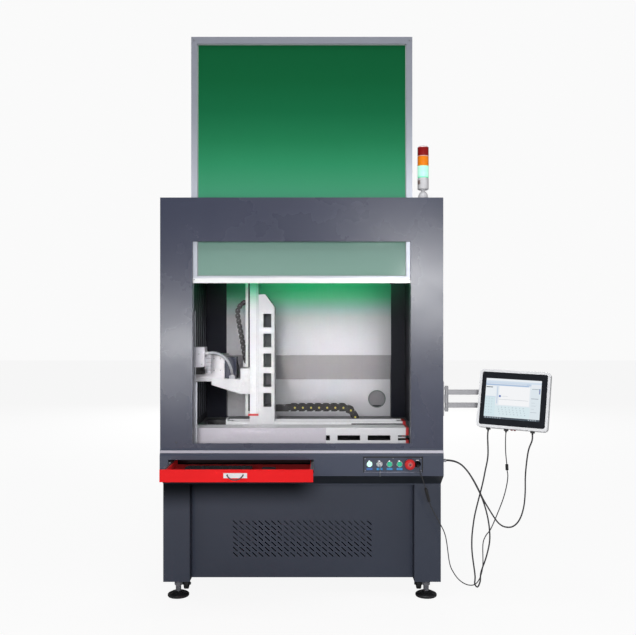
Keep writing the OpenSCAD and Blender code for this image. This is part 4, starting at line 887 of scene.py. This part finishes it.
def control_details():
    # Gasket round the cut-out, with a bright bead along its foot
    bm = bmesh.new()
    wide, proud = 0.0048, 0.0026
    for left, bottom, right in ((CUT_LEFT, CUT_TOP - 0.005, CUT_RIGHT), (CUT_LEFT, CUT_LOW, CUT_LEFT + wide),
                                (CUT_RIGHT - wide, CUT_LOW, CUT_RIGHT)):
        on_panel(left, bottom, right, CUT_TOP, proud, 0.0004, bm, 1)
    finished("panel_gasket", bm, RUBBER_BLACK, "cabinet")
    bm = on_panel(CUT_LEFT + wide, CUT_LOW, CUT_RIGHT - wide, CUT_LOW + 0.003, proud, 0.0008)
    finished("panel_lower_bead", bm, PANEL_BEAD, "cabinet")
    # Blank name plates under the four buttons
    bm = bmesh.new()
    for x in CONTROL_X[:4]:
        on_panel(x - 0.013, CONTROLS_Z - 0.027, x + 0.013, CONTROLS_Z - 0.0175, 0.0012, 0.0005, bm)
    finished("blank_name_plates", bm, LABEL_BLUE, "cabinet")
    inset = 0.009
    places = [(x, PLATE_FRONT, z) for x in (CUT_LEFT + inset, CUT_RIGHT - inset)
              for z in (CUT_LOW + inset, CUT_TOP - inset)]
    places.append(((CUT_LEFT + CUT_RIGHT) / 2, PLATE_FRONT, CUT_TOP - 0.0085))
    screws("panel_screws", places, (0, -1, 0), 0.0026, "cabinet")
    # Raised mark over the socket
    x = CUT_RIGHT - 0.024
    bm = on_panel(x - 0.006, CONTROLS_Z + 0.0135, x + 0.006, CONTROLS_Z + 0.018, 0.0008, 0.0003)
    finished("socket_mark", bm, TOWER_GREY, "cabinet")
    # Stop button: domed middle disc and the bead round it
    x, face = CONTROL_X[4], low("estop_head").y
    disc = [(0, 0.0012), (0.0046, 0.0011), (0.0056, 0.0004), (0.0058, -0.0012), (0, -0.0012)]
    bm = lathe(disc, (x, face + 0.0002, CONTROLS_Z), (0, -1, 0), 32)
    ring(0.0092, 0.0012, (x, face + 0.0004, CONTROLS_Z), (0, -1, 0), bm)
    finished("stop_centre_marks", bm, stop_mark(), "estop")
    # Split ring and spare key on the key
    x, y = CONTROL_X[1], low("key_switch").y
    bm = ring(0.0125, 0.0016, (x, y + 0.0075, CONTROLS_Z - 0.0105), (1, 0, 0))
    ring(0.0125, 0.0016, (x + 0.0014, y + 0.0075, CONTROLS_Z - 0.0105), (1, 0, 0.03), bm)
    finished("key_ring", bm, STEEL, "key")
    bm = rounded_block((x - 0.0014, y + 0.001, CONTROLS_Z - 0.052),
                       (x + 0.0014, y + 0.0135, CONTROLS_Z - 0.0215), 0.001)
    finished("spare_key", bm, STEEL, "key")


control_details()


# ---- Signal tower ----
def tower_details():
    at = middle("tower_base")
    radius = (high("tower_green").x - low("tower_green").x) / 2
    seam, inner, thick = radius - 0.0006, radius - 0.0028, 0.0028
    seat = [(inner, 0.0002), (seam, 0.0002), (seam + 0.0004, 0.0014), (seam, thick), (inner, thick),
            (inner, 0.0002)]
    for colour, finish, slot in (("green", GREEN_SEAT, "lens_green"), ("orange", AMBER_SEAT, "lens_orange"),
                                 ("red", CLEAR_SEAT, "tower_grey")):
        bm = lathe(seat, (at.x, at.y, low("tower_" + colour).z), (0, 0, 1), 48)
        finished(colour + "_lens_seat", bm, finish, "cabinet")
    # Clip on the side of the base
    z = low("tower_green").z - 0.022
    bm = rounded_block((at.x - radius * 0.98, at.y - 0.0195, z - 0.009),
                       (at.x - radius * 0.55, at.y - 0.0015, z + 0.009), 0.0015)
    finished("tower_clip", bm, CLIP_BROWN, "cabinet")
    circle, level = 0.0185, high("top_plate").z + 0.0084
    screws("tower_foot_screws", [(at.x + circle * math.cos(a), at.y + circle * math.sin(a), level)
                                 for a in (0.8, 2.4, 3.9, 5.5)], (0, 0, 1), 0.0024, "cabinet")


tower_details()


# ---- Head, column and bed ----
def head_details():
    box, head = low("laser_box"), low("scan_head")
    shelf, head_top = low("z_carriage").y, high("scan_head").z
    front = shelf + 0.005
    screws("laser_box_screws", [(box.x + x, front, box.z + z) for x in (0.02, 0.12, 0.1505)
                                for z in (0.0404, 0.0963)], (0, -1, 0), 0.0032, "head")
    screws("scan_head_screws", [(head.x + x, head.y, head_top - down) for x, down in (
        (0.085, 0.031), (0.018, 0.031), (0.012, 0.078), (0.098, 0.078))], (0, -1, 0), 0.0026, "head")
    # Bands round the side motor, and its cap
    x, y = high("scan_head").x - 0.014, head.y + 0.04
    bm = bmesh.new()
    for k in range(4):
        lathe([(0.0135, 0), (0.0144, 0.0005), (0.0144, 0.0025), (0.0135, 0.003), (0.0135, 0)],
              (x, y, head_top - 0.108 + 0.018 * k), (0, 0, 1), 32, bm)
    lathe([(0, 0.0035), (0.009, 0.0035), (0.0125, 0.0015), (0.0135, -0.001), (0, -0.001)],
          (x, y, head_top - 0.036), (0, 0, 1), 32, bm)
    finished("side_motor_bands", bm, BAND_GREY, "head")
    # Front glass and knurled rim of the lens barrel
    barrel = Vector((head.x + 0.055, head.y + 0.043, head.z))
    bm = bmesh.new()
    grips, rim = 40, 0.0518
    for k in range(grips):
        a = 2 * math.pi * k / grips
        verts = bmesh.ops.create_cube(bm, size=1.0)["verts"]
        bmesh.ops.scale(bm, vec=(0.0016, 0.0045, 0.014), verts=verts)
        bmesh.ops.rotate(bm, cent=(0, 0, 0), matrix=Matrix.Rotation(a, 3, "Z"), verts=verts)
        out = Vector((rim * math.cos(a), rim * math.sin(a), 0.010))
        bmesh.ops.translate(bm, vec=barrel + out, verts=verts)
    finished("barrel_grips", bm, BLACK_MOULD, "head", False)
    bm = lathe([(0, -0.0008), (0.036, -0.0002), (0.0415, 0.0008), (0.0415, 0.0035), (0, 0.0035)], barrel,
               (0, 0, 1), 48)
    finished("scan_lens_glass", bm, LENS_GLASS, "head")
    # Collar at the end of the head's hose
    bm = lathe([(0, -0.004), (0.0075, -0.004), (0.0082, -0.002), (0.0082, 0.01), (0.0062, 0.014), (0, 0.014)],
               (head.x + 0.111, front - 0.113, head_top - 0.0287), (1, 0, 0), 24)
    finished("hose_collar", bm, TOWER_GREY, "head")
    # Sleeve over the hose, and the dark cable of the driver box, in millimetres from the gland block's corner
    corner = Vector((high("z_carriage").x - 0.101, shelf, box.z))
    hose = [(-84, -108, 127), (-62, -101, 129), (-35, -86, 121), (-8, -66, 100), (6, -45, 73), (13, -25, 46),
            (14, -6, 32), (14, 10, 24)]
    cable = [(24, 60, 88), (33, 56, 80), (39, 48, 50), (38, 34, 20), (31, 24, 4)]
    for name, route, width, finish, slot in (("hose_sleeve", hose, 0.0135, HOSE_GREY, "silver"),
                                             ("driver_cable", cable, 0.0055, RUBBER_BLACK, "black_plastic")):
        line = eased([corner + Vector(point) / 1000 for point in route])
        piece(name, tube(name, line, width), finish, "head")


def column_details():
    """Joint lines of the vertical module, and a dark strip beside its cover strip that stands in for the
    shade in the gap there.
    """
    lowest, highest = low("z_module"), high("z_module")
    bm = bmesh.new()
    for x in (highest.x - 0.0086, highest.x - 0.0008):
        rounded_block((x, lowest.y - 0.0008, lowest.z + 0.012),
                      (x + 0.0013, lowest.y + 0.0002, highest.z - 0.012), 0.0002, bm, 1)
    finished("z_module_joint_lines", bm, JOINT_GREY, "x_carriage", False)
    # Dark strip put as painted shade in the gap beside the cover strip.
    left = highest.x - 0.042
    bm = rounded_block((left - 0.0165, highest.y - 0.0115, lowest.z + 0.005),
                       (left - 0.001, highest.y - 0.009, highest.z - 0.01), 0.0006)
    finished("z_module_gap_shade", bm, RUBBER_BLACK, "x_carriage")


def bed_details():
    """Light bar seen through the last gap, and the screws of the end caps and the motor."""
    rails, module = low("bed_rails"), low("x_module")
    right, cap = high("bed_rails").x, high("bed_rails").x + 0.014
    bm = rounded_block((right - 0.045, rails.y + 0.024, rails.z + 0.0305),
                       (right + 0.002, rails.y + 0.029, rails.z + 0.0375), 0.001)
    finished("loading_bar", bm, MODULE_WHITE, "cabinet")
    screws("end_cap_screws", [(cap, rails.y + 0.02 + 0.034 * k, rails.z + 0.064) for k in range(3)]
           + [(cap, rails.y + 0.015 + 0.03 * k, rails.z + 0.012) for k in range(2)],
           (1, 0, 0), 0.003, "cabinet")
    screws("motor_screws", [(module.x, module.y + y, high("x_module").z + z)
                            for y in (0.032, 0.068) for z in (-0.014, -0.044)], (-1, 0, 0), 0.0026, "cabinet")


head_details()
column_details()
bed_details()


# ---- Door, chamber and case ----
def door_details():
    lowest, highest = low("door_frame"), high("door_frame")
    inset, half_rail = 0.013, 0.0155
    corners = [(x, z) for x in (lowest.x + inset, highest.x - inset)
               for z in (lowest.z + half_rail, highest.z - half_rail)]
    screws("door_corner_screws", [(x, lowest.y, z) for x, z in corners], (0, -1, 0), 0.0036, "door")
    screws("door_rear_screws", [(x, highest.y, z) for x, z in corners], (0, 1, 0), 0.0036, "door")
    # Rubber strip that holds the pane, in front
    stile, rail, lip, pane = 0.027, 0.031, 0.0035, low("door_window").y
    left, right = lowest.x + stile, highest.x - stile
    bottom, top = lowest.z + rail, highest.z - rail
    bm = bmesh.new()
    for a, b in (((left, bottom), (right, bottom + lip)), ((left, top - lip), (right, top)),
                 ((left, bottom), (left + lip, top)), ((right - lip, bottom), (right, top))):
        rounded_block((a[0], pane - 0.0025, a[1]), (b[0], pane, b[1]), 0.0006, bm, 1)
    finished("pane_seal", bm, SEAL_GREY, "door")
    # Buffers under the lower rail
    bm = bmesh.new()
    for x in (left + 0.06, right - 0.06):
        rounded_block((x - 0.012, lowest.y + 0.006, lowest.z - 0.004),
                      (x + 0.012, lowest.y + 0.02, lowest.z + 0.001), 0.001, bm)
    finished("door_buffers", bm, RUBBER_BLACK, "door")


def chamber_details():
    # Edge strips beside the door's path
    left, y = low("door_frame").x + 0.008, FRONT + 0.0475
    bm = bmesh.new()
    for start, end, foot, head in ((0, 0.014, 0.001, 0.3), (0.003, 0.0068, 0.29, 0.62)):
        rounded_block((left + start, y - 0.0015, DECK_TOP + foot), (left + end, y + 0.0015, DECK_TOP + head),
                      0.0004, bm, 1)
    finished("left_edge_strip", bm, STRIP_GREY, "cabinet")
    # Upright ribs of the cable duct on the left wall
    wall, top = CABINET.x - 0.589, low("top_plate").z
    bm = bmesh.new()
    for k in range(5):
        y = CABINET.y + 0.16 + 0.08 * k
        rounded_block((wall - 0.001, y, DECK_TOP + 0.04), (wall + 0.0045, y + 0.012, top - 0.08), 0.0012, bm)
    finished("wall_duct_ribs", bm, duct_ribs(), "cabinet")
    # Rim of the cable hole
    back = CABINET.y + 0.593
    bm = lathe([(0.049, -0.003), (0.0525, -0.003), (0.053, -0.001), (0.053, 0.0004), (0.0488, 0.0004),
                (0.0475, -0.001), (0.0475, -0.0045), (0.049, -0.003)],
               (CABLE_HOLE.x, back, CABLE_HOLE.z), (0, -1, 0), 48)
    finished("cable_hole_rim", bm, SEAL_GREY, "cabinet")


def case_details():
    """Screws along the edges of the case's panels."""
    left, front = low("top_plate").x, low("top_plate").y
    belt_top, top = high("belt_shell").z, high("top_plate").z
    inset, screw = 0.022, 0.005
    rows = [front + 0.1 + (REAR - front - 0.2) / 4 * k for k in range(5)]
    columns = [left + inset + (RIGHT_SIDE - left - 2 * inset) / 5 * k for k in range(6)]
    ends = (columns[0], columns[-1])
    edges = (belt_top + inset, top - inset)
    heights = [belt_top + (top - belt_top) * k / 4 for k in (1, 2, 3)]
    for name, x, facing in (("left_side_screws", left, -1), ("right_side_screws", RIGHT_SIDE, 1)):
        places = [(x, y, z) for y in rows for z in edges]
        places += [(x, y, z) for y in (front + inset, REAR - inset) for z in heights]
        screws(name, places, (facing, 0, 0), screw, "cabinet")
    screws("rear_screws", [(x, REAR, z) for x in columns for z in edges]
           + [(x, REAR, z) for x in ends for z in heights], (0, 1, 0), screw, "cabinet")
    screws("top_screws", [(x, y, top) for x in ends for y in rows]
           + [(x, REAR - inset, top) for x in columns[1:-1]], (0, 0, 1), screw, "cabinet")


def bracket_details():
    plate, y, inset = RIGHT_SIDE + 0.004, FRONT + 0.055, 0.016
    screws("bracket_screws", [(plate, y + across, z) for across in (-0.013, 0.013)
                              for z in (low("arm_bracket").z + inset, high("arm_bracket").z - inset)],
           (1, 0, 0), 0.0045, "cabinet")


def foot_details():
    """Thread turns on the part of each stud that shows."""
    for corner, body in FOOT_BODY.items():
        at = middle("foot_" + corner)
        bm = bmesh.new()
        for k in range(8):
            ring(0.0121, 0.0012, (at.x, at.y, 0.026 + 0.0028 * k), (0, 0, 1), bm, 24)
        finished("thread_" + corner, bm, STEEL, body)


door_details()
chamber_details()
case_details()
bracket_details()
foot_details()


# ---- Floor, world and lamps ----
def lay_floor():
    bm = bmesh.new()
    bmesh.ops.create_grid(bm, x_segments=1, y_segments=1, size=20)
    floor = Finish("floor_white", (0.8, 0.8, 0.8, 1), 0.9).mottled(0.5, 0.01)
    glow = floor.node("ShaderNodeEmission")
    glow.inputs["Color"].default_value = (1, 1, 1, 1)
    glow.inputs["Strength"].default_value = 1.05
    path = floor.node("ShaderNodeLightPath")
    share = floor.maths("MULTIPLY", path.outputs["Is Camera Ray"], 0.86)
    mix = floor.node("ShaderNodeMixShader")
    floor.tree.links.new(share, mix.inputs["Fac"])
    floor.tree.links.new(floor.shader.outputs["BSDF"], mix.inputs[1])
    floor.tree.links.new(glow.outputs["Emission"], mix.inputs[2])
    floor.tree.links.new(mix.outputs["Shader"], floor.tree.nodes["Material Output"].inputs["Surface"])
    finished("floor", bm, floor, None, smooth=False)


def light_world():
    world = bpy.data.worlds.new("studio")
    bpy.context.scene.world = world
    world.use_nodes = True
    tree = world.node_tree
    plain = tree.nodes["Background"]
    plain.inputs["Color"].default_value = (1, 1, 1, 1)
    plain.inputs["Strength"].default_value = 0.16
    white = tree.nodes.new("ShaderNodeBackground")
    white.inputs["Color"].default_value = (1, 1, 1, 1)
    white.inputs["Strength"].default_value = 0.957
    path = tree.nodes.new("ShaderNodeLightPath")
    seen = tree.nodes.new("ShaderNodeMath")
    seen.operation = "MAXIMUM"
    tree.links.new(path.outputs["Is Camera Ray"], seen.inputs[0])
    tree.links.new(path.outputs["Is Transmission Ray"], seen.inputs[1])
    mix = tree.nodes.new("ShaderNodeMixShader")
    tree.links.new(seen.outputs["Value"], mix.inputs["Fac"])
    tree.links.new(plain.outputs["Background"], mix.inputs[1])
    tree.links.new(white.outputs["Background"], mix.inputs[2])
    tree.links.new(mix.outputs["Shader"], tree.nodes["World Output"].inputs["Surface"])


def lamp(name, place, aim, size, watts, colour=(1, 1, 1)):
    data = bpy.data.lights.new(name, "AREA")
    data.shape = "RECTANGLE"
    data.size, data.size_y = size
    data.energy = watts
    data.color = colour
    made = bpy.data.objects.new(name, data)
    bpy.context.collection.objects.link(made)
    made.location = place
    made.rotation_euler = (Vector(aim) - Vector(place)).to_track_quat("-Z", "Y").to_euler()
    return made


lay_floor()
light_world()


def from_front(x, out, z):
    """A place by its distance from the cabinet's centre, out from its front and up."""
    return Vector((CABINET.x + x, FRONT - out, z))


def sheen(name, x, z, watts, size, out=3.24):
    """A lamp seen only as a soft shine at one place of the front panel."""
    across = (x * (out + CAMERA_DISTANCE) - CAMERA_SIDE * out) / CAMERA_DISTANCE
    up = (z * (out + CAMERA_DISTANCE) - CAMERA_HEIGHT * out) / CAMERA_DISTANCE
    made = lamp(name, from_front(across, out, up), from_front(x, 0, z), (size, size), watts)
    made.visible_diffuse = False
    return made


front = from_front(0, 0, 1.2)
broad = lamp("front_softbox", from_front(0, 8.0, 2.18), front, (2.6, 1.6), 375)
broad.visible_glossy = False
lamp("overhead", from_front(0, 1.2, 4.2), from_front(0, -0.3, 0.8), (2.4, 1.6), 40)
lamp("right_fill", from_front(3.2, 1.5, 1.2), from_front(0.9, 0, 0.9), (1.2, 1.8), 6)
# A narrow beam that goes in through the open window
beam = lamp("window_beam", from_front(0, 8.0, 1.09), from_front(0, -1.24, 1.03), (0.8, 0.5), 0.62)
beam.data.spread = math.radians(4)
beam.visible_glossy = False
sheen("left_sheen", -0.564, 1.158, 21, 0.35)
sheen("right_sheen", 0.57, 1.411, 32, 0.35)
sheen("header_sheen", 0.348, 1.69, 3, 0.3)
# The far side has a soft light of its own
rear = lamp("rear_softbox", from_front(0, -8.0, 2.4), from_front(0, -1.3, 1.2), (2.6, 1.6), 240)
rear.visible_glossy = False
# Light that falls through the tinted sheet on the back wall
tint = lamp("tinted_light", from_front(0.06, -0.06, 1.57), from_front(0.06, -1.24, 1.58), (0.8, 0.22), 0.5,
            (0.04, 1.0, 0.42))
tint.data.spread = math.radians(30)

bpy.context.scene.view_settings.view_transform = "Standard"
